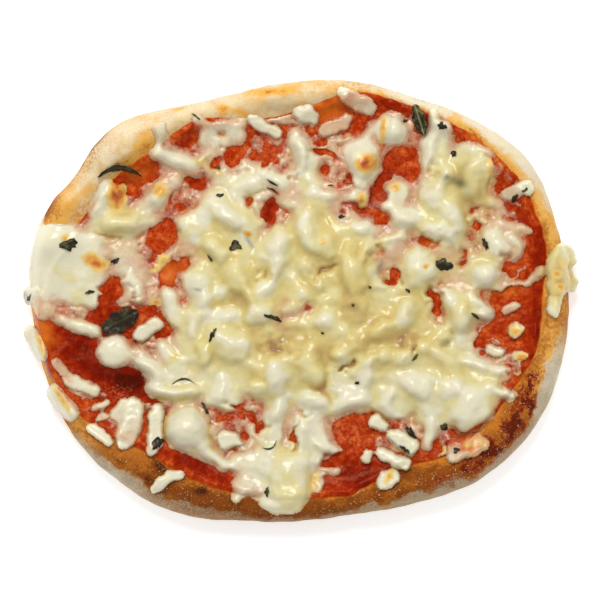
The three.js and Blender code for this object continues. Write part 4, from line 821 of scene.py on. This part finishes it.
VEILS = [  # films over bare sauce: [x, y, half length, half width, turn, thickness]
    [-41, 31, 4, 2.4, -30, 0.35], [-38, 17, 2.4, 4, 0, 0.25], [-26, 27.5, 4, 1.6, 10, 0.4],
    [-9.5, 39.5, 4, 3, 0, 0.4], [9, 40.5, 4, 3, 0, 0.55], [24, 32, 2.4, 4, 0, 0.3],
    [52, 22, 5, 2.4, 40, 0.4], [57, 2, 3, 4, 0, 0.15], [52, -9.5, 3.4, 2.4, 0, 0.18],
    [56.6, -19, 3, 3, 0, 0.8], [-48, -13, 4, 1.6, 0, 0.3], [-52, -24, 4, 1.6, -30, 0.35],
    [-46.5, -33, 3.4, 3.4, 0, 0.35], [-18, -33, 4, 3, 0, 0.35], [-14, -42, 4, 2.4, 0, 0.35],
    [26, -40, 2.4, 1.6, 0, 0.3], [17, -37, 3, 2, 0, 0.3], [46, -36.6, 5, 1.4, 20, 0.45],
    [53, -31, 5, 1.6, 48, 0.4], [-4.6, 46.8, 5, 2, 0, 1.8], [-9, 25.6, 3.4, 2.4, 0, 1.2],
    [-5.4, 21.6, 1.6, 1.6, 0, 0.7], [45.6, 21.6, 3, 2.4, 0, 1], [8, 33, 2, 1.8, 0, 0.7],
    [-3.4, 37.4, 1.2, 2.4, 0, 0.8], [-37.8, 0.6, 1.4, 4.4, 14, 1], [-41, 13, 3, 5, 10, 0.7],
    [-40, -25, 1.8, 3, 0, 1], [-52, -28.4, 3, 2, 0, 0.6], [-57, -24, 2.6, 1.4, -30, 0.9],
    [-13, -27.2, 2, 1.6, 0, 1], [-14.4, -37, 2, 2.2, 0, 0.9], [-22, -34.6, 1.2, 2.4, 0, 0.8],
    [4.8, -47.4, 1.8, 3.4, 0, 1.6], [24, -33, 3, 1.6, -30, 0.7], [31, -41, 4, 1.4, 0, 0.5],
    [37.6, -40, 2.4, 2, 0, 0.7], [48, -33, 3, 1.4, 40, 0.7], [53, -12.6, 2.4, 2, 0, 0.6],
    [62, 0, 1.4, 2.4, 0, 0.6], [21.6, 12, 1.6, 2, 0, 0.7], [23, -37, 4, 2.2, -20, 0.6],
    [29.6, -33, 1.4, 2.2, 0, 0.9], [8.5, 40.6, 4.4, 1.2, 10, 1], [10.8, 36.6, 0.9, 3, 20, 0.9],
    [2, 44.8, 1.4, 1.2, 0, 1], [28.6, 46, 1.6, 3, 0, 1.1], [-47.4, -2, 1.4, 1.2, 0, 0.8],
    [-56.4, -3.4, 1.6, 1.4, 0, 0.7], [53, -15.4, 4, 0.9, -10, 0.7], [-10.4, 25.4, 1.6, 1.6, 0, 0.6],
    [-50, -31.6, 2.4, 1.4, 0, 0.6], [-15, 38.4, 4.5, 2, 10, 0.7], [-6, 42.5, 3, 3, 0, 0.7],
    [9, 33, 1.8, 4, 10, 0.7], [23.5, 9.5, 3.6, 3, 0, 0.9], [-15, -32.5, 3.6, 3, 0, 0.5],
    [26.6, -33.2, 2.4, 1.6, 0, 0.8], [25.5, -38.6, 2.6, 1.8, 0, 0.7], [38.4, -36.8, 1.6, 1.6, 0, 0.9],
    [-36.5, 4.6, 2, 2.4, 0, 0.9], [-54, -4.4, 3.6, 1.6, -20, 1], [47, -11.6, 1.8, 1.8, 0, 0.9],
    [-38.4, -10, 1.8, 1.6, 0, 0.8], [-28.6, 29.4, 1.6, 1.8, 0, 0.9], [54.5, 31.5, 2, 2.4, 40, 0.5],
    [-48, -25.4, 4, 1.4, -20, 0.5], [-20, -44.6, 4.6, 1.6, -20, 0.5], [46, 20, 2.4, 1.6, 0, 1],
    [55.4, 7.4, 3, 0.9, 30, 0.8],
]
DRAPED = [  # cheese that ran over the rim: [x, y, half length, half width, turn, thickness]
    [-66.6, 15.4, 3.4, 5.6, 0, 2], [-68, 6.5, 2.4, 6, 0, 2],
]
DRIPS = [  # and drops of it that hang from the rim
    [-68.2, 0.9, 2, 2.8, 0, 2.2],
]
SMOOTH = [  # places where the cheese has melted flat: [x, y, half length, half width, turn, strength]
    [-64, 12, 10, 11, 0, 1.2],
]
STRINGS = [  # thin drawn strings: [x, y, length, width, turn, bend]
    [56.2, 30, 8.2, 0.9, -48, 0.6], [44, 15.4, 8, 0.9, -62, 0.8], [46.8, 15, 7, 0.8, -80, -0.6],
    [60.6, -3.2, 10.6, 0.8, 83, 0.7], [63, -4.2, 6.8, 0.8, -84, -0.6], [-34.3, 17.2, 3.8, 0.8, 78, 0.3],
    [-60.4, -22, 12, 1.2, -56, 0.8], [-7.4, 41.4, 5.2, 0.9, -10, 0.3], [-6, 45, 4.2, 0.9, -5, 0.2],
    [-39, 28.2, 4.4, 0.8, -60, 0.8], [-44.2, 25.6, 4.6, 0.8, 66, -0.6], [1.4, -1.2, 7, 1, 48, 0.6],
    [-14.2, 2, 5.4, 0.9, 72, 0.4], [21.6, -1.6, 5.4, 0.8, 20, 0.3], [58, 19, 7, 0.8, 60, 0.8],
    [54, 11, 5, 0.8, -20, 0.5], [61, 5.6, 9, 1.3, 24, 0.6], [-17, -36, 6, 0.8, 30, 0.8],
    [-43, -36, 5, 0.8, 10, 0.5],
]


def strewn(seed, count, thick):
    """Rows as in SHREDS for the ones without a place of their own, wherever the cheese is thick enough."""
    rng = np.random.default_rng(seed)
    rows = []
    while len(rows) < count:
        x, y, turn = rng.uniform(-REACH[0], REACH[0]), rng.uniform(-REACH[1], REACH[1]), rng.uniform(0, 180)
        long, wide = rng.uniform(5, 12), rng.uniform(3.2, 6.4)
        ends = np.array([-0.45, 0, 0.45]) * long
        cos, sin = math.cos(math.radians(turn)), math.sin(math.radians(turn))
        if sample(thick, x + ends * cos, y + ends * sin).min() > 0.9:
            bend, lift, tone = rng.uniform(-0.8, 0.8), rng.uniform(-1.0, 0.0), rng.normal(-0.02, 0.26)
            rows.append([x, y, long, wide, turn, bend, lift, tone])
    return rows


def lay(rows, base, top, tone):
    """Lays shreds into the base; top and tone take each one's height and tone where it is highest."""
    for x, y, long, wide, turn, bend, lift, colour in rows:
        part, dx, dy = window(x, y, 0.5 * long + wide)
        u, v = turned(dx + shift_x[part], dy + shift_y[part], turn)
        v = v - bend * (1 - (2 * u / long) ** 2)
        narrowed = 0.5 * wide * (1 + 0.14 * np.sin(2.1 * u / wide + x))
        past = np.maximum(np.abs(u) - 0.5 * max(long - wide, 0), 0)
        round_off = 1 - (past / (0.5 * wide)) ** 2 - (v / narrowed) ** 2
        rise = min(wide, 5.0)
        z = base[part] + 1.3 * lift + rise * (0.42 * np.sqrt(np.clip(round_off, 0, 1)) - 0.3)
        higher = (round_off > 0) & (z > top[part])
        top[part] = np.where(higher, z, top[part])
        tone[part] = np.where(higher, colour, tone[part])


solid_depth = cheese_depth(["melted_cheese"], 1.0, 0.4, 0)
loose_depth = cheese_depth([name for name in LOOSE if name not in HANGING], 0.9, 0.16, 0.35)
loose_depth = np.maximum(loose_depth, cheese_depth(HANGING, 0.3, 0.5, 0))
loose_depth = np.minimum(1.5 * loose_depth, 0.6 * loose_depth + 0.8)  # flatter on top, with steeper sides
cover = ramp(solid_depth, 0.3, 1.0)
sunk = solid_depth * (1 - 0.3 * ramp(solid_depth, 1.2, 3.5))
shred_top = bed + sunk
tone = np.zeros_like(GX)
shred_base = bed + blur(solid_depth, 0.9)
lay(strewn(41, 120, solid_depth), shred_base, shred_top, tone)
lay(SHREDS, shred_base, shred_top, tone)
shred_depth = np.where(solid_depth > 0.3, shred_top - bed, sunk) * cover + solid_depth * (1 - cover)
main_depth = blur(shred_depth, 0.55)
main_depth = soft_max(main_depth, blur(main_depth, 1.7) - 0.4, 0.3)  # the melt fills the gaps between shreds
tone = np.where(loose_depth > solid_depth, -0.2, blur(tone * cover, 0.5))

string_top = np.full(GX.shape, -np.inf)
string_base = np.maximum(bed, bed + main_depth) + 0.12
lay([[*row, 0.0, 0.0] for row in STRINGS], string_base, string_top, np.zeros_like(GX))
string_depth = blur(np.maximum(string_top, bed) - bed, 0.22)
main_depth = np.maximum(main_depth, string_depth)

holes = uneven(HOLES)
main_depth = np.maximum(main_depth - holes, np.minimum(main_depth, 0.12))
veiled = uneven(VEILS)
drawn_out = blur(main_depth > 0.4, 1.5) + 0.17 * mottle(28, 6) + 0.05 * mottle(29, 1.6) - 0.05
patchy = 0.1 * mottle(30, 2) * ramp(veiled, 0.05, 0.2)
veil = 0.5 * ramp(drawn_out, 0.1, 0.7) + np.maximum(veiled + patchy - 0.08, 0)
veil = veil * ramp(sauce_depth, 0.1, 0.6) * (1 - ramp(holes, 0.3, 0.9)) * (1 - ramp(spots(POOLS), 0.2, 0.5))
veil *= ramp(well_inside, 0.75, 0.98)
main_depth = np.maximum(main_depth, veil)
feather = 0.15 * mottle(50, 2.6) + 0.07 * mottle(51, 1.3)
main_depth = main_depth + feather * ramp(main_depth, 0.05, 0.4) * (1 - ramp(main_depth, 0.9, 1.9))
lumps = 0.08 * mottle(25, 4.5) + 0.015 * mottle(26, 1.8)
main_depth = main_depth + lumps * ramp(main_depth, 0.5, 1.6)
on_rim = ramp(blur(on_dough, 0.6), 0.25, 0.6)
main_depth = main_depth + on_rim * (soft_max(main_depth, spots(DRAPED) - 0.2, 0.8) - main_depth)
smooth = ramp(spots(SMOOTH), 0.3, 0.8)
under_melt = blur(np.isfinite(height_map("melted_cheese")), 0.8)
hanging = 1.3 * smooth * ramp(under_melt, 0.4, 0.6)
main_depth = soft_max(main_depth + smooth * (blur(main_depth, 1.6) - main_depth), hanging, 0.3 * smooth)
main_depth = np.maximum(main_depth, 0)
kept_in = ramp(blur(on_dough, 0.6), 0.12, 0.35)
left_end = (GX < -58) & (GY > -2)  # where the cheese stops at the rim
depth = np.where(left_end, kept_in, 1) * np.maximum(main_depth, loose_depth)
depth = np.maximum(depth, uneven(DRIPS) - 0.3)

# Browned spots, yellow places and herbs under the cheese: [x, y, half length, half width, turn, strength].
FRIED = [
    [43.8, -37.2, 4, 1.8, 22, 0.3], [-53.6, 10.4, 2.2, 2, -30, 0.85], [-51, 9, 2, 1.5, 20, 0.7],
    [-60.2, 15.6, 1.2, 1.2, 0, 0.7], [-46.8, 27.4, 2.1, 4, -8, 1.3], [-45.6, 31.8, 1.6, 2, -50, 0.7],
    [-36, 28.4, 2, 2.4, 20, 0.6], [-35, 11, 1.9, 1.4, -20, 0.5], [-36.5, 8.6, 2.9, 1.5, 30, 0.4],
    [-31.8, 7.4, 1.1, 1.5, 0, 0.35], [-37, -0.6, 1.6, 1.2, -30, 0.6], [-13.5, 17, 1.1, 0.8, -30, 0.9],
    [6, 15, 0.9, 0.9, 0, 0.8], [17.2, 35.5, 2.4, 2.2, 0, 1.1], [15.6, 34.4, 1.6, 1.4, 0, 0.5],
    [16, 26, 1.4, 1.9, 0, 0.6], [21.2, 43.4, 0.9, 3.3, -6, 0.7], [24.5, 29, 1.4, 1.1, 0, 0.7],
    [48.5, 33, 1.1, 3.7, 8, 0.4], [67.6, 9.6, 1.4, 1.2, 0, 0.6], [66, 6.6, 1.4, 1.2, 0, 0.7],
    [66.6, 3.2, 1.4, 1.2, 0, 0.7], [32.2, 8.6, 0.9, 0.8, 0, 0.6], [13.6, -11.8, 0.8, 0.7, 0, 0.5],
    [3.5, -47, 1.2, 2.7, -15, 0.4], [57, -19, 1.9, 1.4, 0, 0.5], [36.2, -38.6, 1.6, 1.4, 0, 0.5],
    [22.9, -45.2, 2.2, 1.1, 60, 0.6], [55.4, -7.8, 1.6, 1.4, 0, 0.8], [56.8, -14.6, 2.2, 1.1, 0, 0.8],
    [64.6, -10, 0.9, 7.7, 6, 0.5], [-66.6, -11.5, 0.9, 3.4, 20, 0.65], [-61.2, -25.2, 0.9, 4.2, 33, 0.7],
]
# Some yellow places also darken the cheese where shade falls, as painted shade.
YELLOW = [
    [4, -3, 34, 20, -6, 0.5], [-12, 12, 10, 10, 0, 0.15], [-26, -12, 8, 9, 0, 0.2],
    [30, -8, 14, 10, 0, 0.15], [44, 26, 8, 10, 0, 0.45], [36, 16, 8, 6, 0, 0.2], [67, 6, 5, 10, 0, 1.5],
    [0, -44, 8, 10, 0, -0.05], [-22, 24, 8, 6, 0, 0.15], [-6, -10.9, 4, 3, 20, 0.35],
    [44, -30, 6, 5, 0, 0.15], [-44, 20, 6, 3, 0, 0.2], [2, -49.5, 3, 2, 0, 0.25], [46, 8, 8, 9, 0, 0.25],
    [41, 34, 6, 6, 0, 0.3], [-60.5, 7, 5, 4, 0, -0.45],
]
BURIED = [
    [41, 30, 2.2, 1.5, -30, 0.8], [37.6, 31.5, 1.4, 1, 0, 0.6], [42.4, 34.6, 1.6, 0.9, 40, 0.35],
    [47.5, -5, 2.4, 1.4, 0, 0.2], [-38, 11.5, 1, 0.6, 30, 0.5], [-26, 2.6, 1.4, 0.4, -10, 0.5],
    [20.4, 8.4, 1.8, 0.8, 60, 0.5], [37.8, -11, 1.6, 1, 20, 0.35], [-5, -10.6, 0.7, 0.6, 0, 0.5],
    [-13, 14.8, 0.5, 2, 30, 0.5],
]

hollow, groove = blur(depth, 2.4) - depth, blur(depth, 1.1) - depth
# Clear places show what is under the cheese; some of them darken it where shade falls, as painted shade.
clear_and_shaded = uneven(CLEAR_AND_SHADED) * ramp(depth, 0.3, 1.2) * (1 - 0.4 * ramp(tone, 0.1, 0.3))
over_dough = (1 - ramp(sauce_depth, -0.1, 0.3)) * (1 - ramp(spots(OILY), 0.6, 0.9))
solid_look = depth + 0.6 * over_dough * ramp(depth, 0.1, 0.5)
solid_look = np.where(loose_depth > main_depth, np.maximum(0.88 * solid_look, 0.5), solid_look)
# Yellower in the yellow places and by each shred's tone. Also painted shade, yellower and darker in hollows
# and creases, and a painted highlight, whiter on crests.
rich = spots(YELLOW) + 1.3 * tone - 0.06 + 0.12 * mottle(43, 9)
rich += 0.2 * ramp(hollow, 0, 1.2) + 0.24 * ramp(groove, 0.08, 0.5) - 0.36 * ramp(-hollow, 0.05, 1.2)
rich += 0.7 * ramp(groove, 0.4, 0.9)
cheese_values = {
    "thick": np.maximum(solid_look - clear_and_shaded, 0.02 * depth) + 0.9 * ~on_dough,
    "rich": rich,
    "fried": spots(FRIED) * (1 + 0.15 * mottle(42, 1.2)),
    "herb": np.clip(spots(BURIED), 0, 0.8),
    "dough": over_dough,
    **sauce_values,
}
SUNK_IN = 0.1  # how far all cheese lies in its bed
CHEESE_UNDER, LOWEST_UNDER = 0.5, 0.2  # how far its underside is in the bed, and its least height
SAUCE_UNDER = 0.8  # how far the sauce's underside is in the dough
cheese_top = bed + depth - SUNK_IN + smooth * (soft_max(blur(bed, 1.8), bed - 0.4, 0.8) - bed)


def make_cheese(material):
    laid = depth > SUNK_IN
    cells = all_corners(laid & (blur(laid, 0.6) > 0.48))  # without specks and spurs
    loose = (loose_depth > main_depth)[:-1, :-1]
    nowhere = np.zeros_like(cells)
    bottom = np.maximum(bed - CHEESE_UNDER, LOWEST_UNDER)
    for name, part, replaced in (
        ("mozzarella_melted", cells & ~loose, ["melted_cheese"]),
        ("mozzarella_loose", cells & loose, LOOSE),
    ):
        height_solid(
            name, cheese_top, bottom, part, nowhere,
            cheese_values, material, replaced,
        )


def make_sauce(material):
    laid = (blur(on_sauce, 1.3) > 0.12) | (sauce_depth > 0.1)
    cells = all_corners(laid & (well_inside > 0.55))
    covered = all_corners(blur(depth > 0.5, 0.5) > 0.97)
    values = {**sauce_values, "layer": sauce_depth}
    height_solid(
        "sauce_cooked", sauce_top, dough_top - SAUCE_UNDER, cells, covered,
        values, material, ["tomato_sauce"],
    )


# ---------------------------------------------------------------- herbs

# Flakes of dried herb: [x, y, length, width, turn].
FLAKES = [
    [-59, 14, 4.4, 3.2, 20], [37, 9, 4.2, 3, -20], [36.5, 44.5, 2.4, 1.8, -10], [27, 46, 1.4, 1, 30],
    [39.5, 37.5, 2, 1.4, 40], [-16.5, 14, 3, 2.4, 10], [-20.5, 27, 1.6, 0.9, 0], [-7, 30, 3, 0.6, -30],
    [-6.5, -4.5, 4.6, 1.2, -16], [-22.5, -9, 3.8, 1, 70], [-23, 10.5, 2.2, 0.7, -50],
    [-47.5, 10, 2.2, 1.2, 20], [-54, 2, 2.4, 0.9, 0], [-69.8, 0.6, 1.6, 0.9, 60],
    [-26.5, 47, 2.4, 0.5, -35], [-21, 34, 1.6, 0.8, 0], [-36.5, -37, 3.6, 2.2, 65],
    [-24.5, -27.5, 3.4, 1, -60], [-8.5, -49, 2.2, 1, 85], [47.5, 14.5, 2.8, 1.2, -70],
    [55, 26, 2.2, 1.4, 30], [57.5, 28, 1.8, 0.8, 40], [18, 3.3, 1, 0.7, 0], [13.5, -1.3, 0.9, 0.7, 0],
    [5.7, -8.5, 0.8, 0.6, 0], [27.7, 2.5, 1.3, 0.8, -40], [10.8, 21.5, 1.6, 0.9, 30],
    [29.5, -14.8, 2, 0.7, 50], [14.7, -21.3, 1.2, 0.9, 0], [45, -4.2, 2.6, 0.9, -40],
    [28.5, -34, 3.4, 1.4, -50], [37, -32.5, 1.9, 1.8, 0], [40, -38.5, 1.8, 1.3, 0],
    [27, -38.5, 2.6, 1.2, -40],
]
THREADS = [  # thin stalks of herb: [x, y, length, turn, bend]
    [-30, -21, 4.6, 5, 0.8], [-8, -37, 4.2, 20, -1.2], [8, 29.5, 1.6, 0, 0], [-7.2, 28.2, 2.6, -30, 0.2],
]
THICKNESS = 0.18
FLAKE_RINGS = 2
LEAF_ALONG, LEAF_ACROSS = 30, 12  # steps of a leaf's mesh
surface = np.maximum(bed, cheese_top)


def flake_mesh(x, y, long, wide, turn, seed, bend, sides):
    """A torn, slightly curled scrap that lies on the surface: its points and faces."""
    rng = np.random.default_rng(seed)
    angle = 2 * math.pi * np.arange(sides) / sides
    torn = np.clip(1 + 0.26 * rng.standard_normal(sides), 0.5, 1.5)
    points, layers = [], []
    cos, sin = math.cos(math.radians(turn)), math.sin(math.radians(turn))
    for share in [0, *np.linspace(0.5, 1, FLAKE_RINGS)]:
        u = 0.5 * long * share * np.cos(angle) * torn
        v = 0.5 * wide * share * np.sin(angle) * torn + bend * (1 - (2 * u / long) ** 2)
        px, py = x + u * cos - v * sin, y + u * sin + v * cos
        curl = 0.25 * share**2 * np.sin(2 * angle + seed) * min(1.0, wide / 2)
        layers.append(np.stack([px, py, sample(surface, px, py) + 0.12 + curl], axis=1))
    for lift in (THICKNESS, 0):
        for k, layer in enumerate(layers):
            rows = layer[:1] if k == 0 else layer
            points += (rows + [0, 0, lift]).tolist()
    per = 1 + sides * FLAKE_RINGS
    last = per - sides
    faces = []
    for side, base in ((1, 0), (-1, per)):
        for i in range(sides):
            j = (i + 1) % sides
            faces.append([base, base + 1 + i, base + 1 + j][::side])
            for a in range(base + 1, base + last, sides):
                faces.append([a + i, a + sides + i, a + sides + j, a + j][::side])
    for i in range(sides):
        j = (i + 1) % sides
        faces.append([last + i, per + last + i, per + last + j, last + j])
    return points, faces


def make_flakes(material):
    points, faces = [], []
    rows = [(*row, seed, 0.0) for seed, row in enumerate(FLAKES)]
    rows += [(x, y, long, 0.45, turn, 90 + k, bend) for k, (x, y, long, turn, bend) in enumerate(THREADS)]
    for x, y, long, wide, turn, seed, bend in rows:
        more, around = flake_mesh(x, y, long, wide, turn, seed, bend, 15 if long > 2 else 9)
        faces += [[v + len(points) for v in face] for face in around]
        points += more
    values = {"vein": np.zeros(len(points)), "olive": np.full(len(points), 0.5)}
    new_piece("herb_flakes", points, faces, values, material)


# Basil leaves: the node each stands for, and its middle, length, width, turn, bend, lift and tilt.
LEAVES = {
    "basil_leaf_left": [-46.1, -5.4, 10.2, 5.4, 27, 0.0, 1.5, 1.2],
    "basil_leaf_far": [30.6, 46.2, 8.2, 3.2, -72, 0.0, 1.3, 0.5],
    "basil_leaf_charred": [-46.2, 31.6, 11.0, 1.5, 2, 2.2, 0.8, 0.2],
}


def make_leaf(name, row, material):
    x, y, long, wide, turn, bend, lift, tilt = row
    cos, sin = math.cos(math.radians(turn)), math.sin(math.radians(turn))
    steps = np.linspace(-1, 1, LEAF_ALONG + 1), np.linspace(-1, 1, LEAF_ACROSS + 1)
    u, v = np.meshgrid(*steps, indexing="ij")
    rng = np.random.default_rng(len(name))
    lobes = 1 + 0.13 * np.sin(9 * u + 3 * np.sign(v)) + 0.08 * np.sin(23 * u + 2)
    half = 0.5 * wide * np.cos(1.4 * u) ** 0.7 * lobes
    px, py = 0.5 * long * u, v * half + bend * (1 - u * u)
    wx, wy = x + px * cos - py * sin, y + px * sin + py * cos
    ground = sample(blur(surface, 1.2), wx, wy)
    crumple = 0.35 * np.sin(3 * u + 2 * v) + 0.16 * np.sin(8 * u - 5 * v)
    crumple += 0.08 * rng.standard_normal(u.shape)
    z = ground + lift + crumple + 0.5 * tilt * v
    z = np.maximum(z, sample(surface, wx, wy) + 0.05)
    grid = np.stack([wx, wy, z], axis=2).reshape(-1, 3)
    points = np.concatenate([grid + [0, 0, THICKNESS], grid])
    index = np.arange(len(grid)).reshape(u.shape)
    a, b, c, d = index[:-1, :-1], index[1:, :-1], index[1:, 1:], index[:-1, 1:]
    top = np.stack([a, b, c, d], axis=2).reshape(-1, 4)
    faces = top.tolist() + (top[:, ::-1] + len(grid)).tolist()
    edge = [*index[:, 0], *index[-1, 1:], *index[-2::-1, -1], *index[0, -2:0:-1]]
    for p, q in zip(edge, edge[1:] + edge[:1]):
        faces.append([int(p), int(p) + len(grid), int(q) + len(grid), int(q)])
    vein = np.exp(-((v * half / 0.16) ** 2)).ravel() * (0.8 if name == "basil_leaf_far" else 0.1)
    olive = np.full(2 * len(vein), 1.0 if name == "basil_leaf_far" else 0.3)
    values = {"vein": np.tile(vein, 2), "olive": olive}
    new_piece(name + "_wilted", points, faces, values, material, [name])


# ---------------------------------------------------------------- the pieces

make_dough(dough_material())
make_sauce(sauce_material())
make_cheese(cheese_material())
herb = herb_material()
make_flakes(herb)
for leaf_name, leaf_row in LEAVES.items():
    make_leaf(leaf_name, leaf_row, herb)

# ---------------------------------------------------------------- floor, light and camera

VIEW_ACROSS = 154.2 * MM  # what the picture shows from side to side at VIEW_HEIGHT
VIEW_HEIGHT = 10 * MM
LENS, SENSOR = 300.0, 36.0
FLOOR_HALF, FLOOR_DROP = 3.0, 0.05 * MM
SKY = 0.66  # light from all round
LAMP, LAMP_SIZE, LAMP_POWER = (-0.06, 0.38, 0.6), 0.36, 4.0  # the soft lamp beyond the far side


def make_floor():
    mesh = bpy.data.meshes.new("floor")
    corners = [(FLOOR_HALF * x, FLOOR_HALF * y, 0) for x, y in ((-1, -1), (1, -1), (1, 1), (-1, 1))]
    mesh.from_pydata(corners, [], [[0, 1, 2, 3]])
    white = (0.95, 0.95, 0.95, 1)
    material, _, _ = new_material("pale_floor", Base_Color=white, Roughness=0.9, Emission_Strength=0.4)
    mesh.materials.append(material)
    floor = bpy.data.objects.new("floor", mesh)
    floor.location.z = -FLOOR_DROP
    bpy.context.scene.collection.objects.link(floor)


def make_light():
    world = bpy.data.worlds.new("studio")
    world.use_nodes = True
    world.node_tree.nodes["Background"].inputs["Color"].default_value = (1, 1, 1, 1)
    world.node_tree.nodes["Background"].inputs["Strength"].default_value = SKY
    bpy.context.scene.world = world
    light = bpy.data.lights.new("key", "AREA")
    light.shape = "DISK"
    light.size = LAMP_SIZE
    light.energy = LAMP_POWER
    lamp = bpy.data.objects.new("key", light)
    lamp.location = LAMP
    lamp.rotation_euler = (-Vector(LAMP)).to_track_quat("-Z", "Y").to_euler()
    bpy.context.scene.collection.objects.link(lamp)


def make_camera():
    scene = bpy.context.scene
    camera = bpy.data.cameras.new("camera")
    camera.lens = LENS
    camera.sensor_width = SENSOR
    camera.clip_end = 10
    eye = bpy.data.objects.new("camera", camera)
    eye.location = (0, 0, VIEW_HEIGHT + VIEW_ACROSS * LENS / SENSOR)
    scene.collection.objects.link(eye)
    scene.camera = eye
    scene.view_settings.view_transform = "Standard"


make_floor()
make_light()
make_camera()
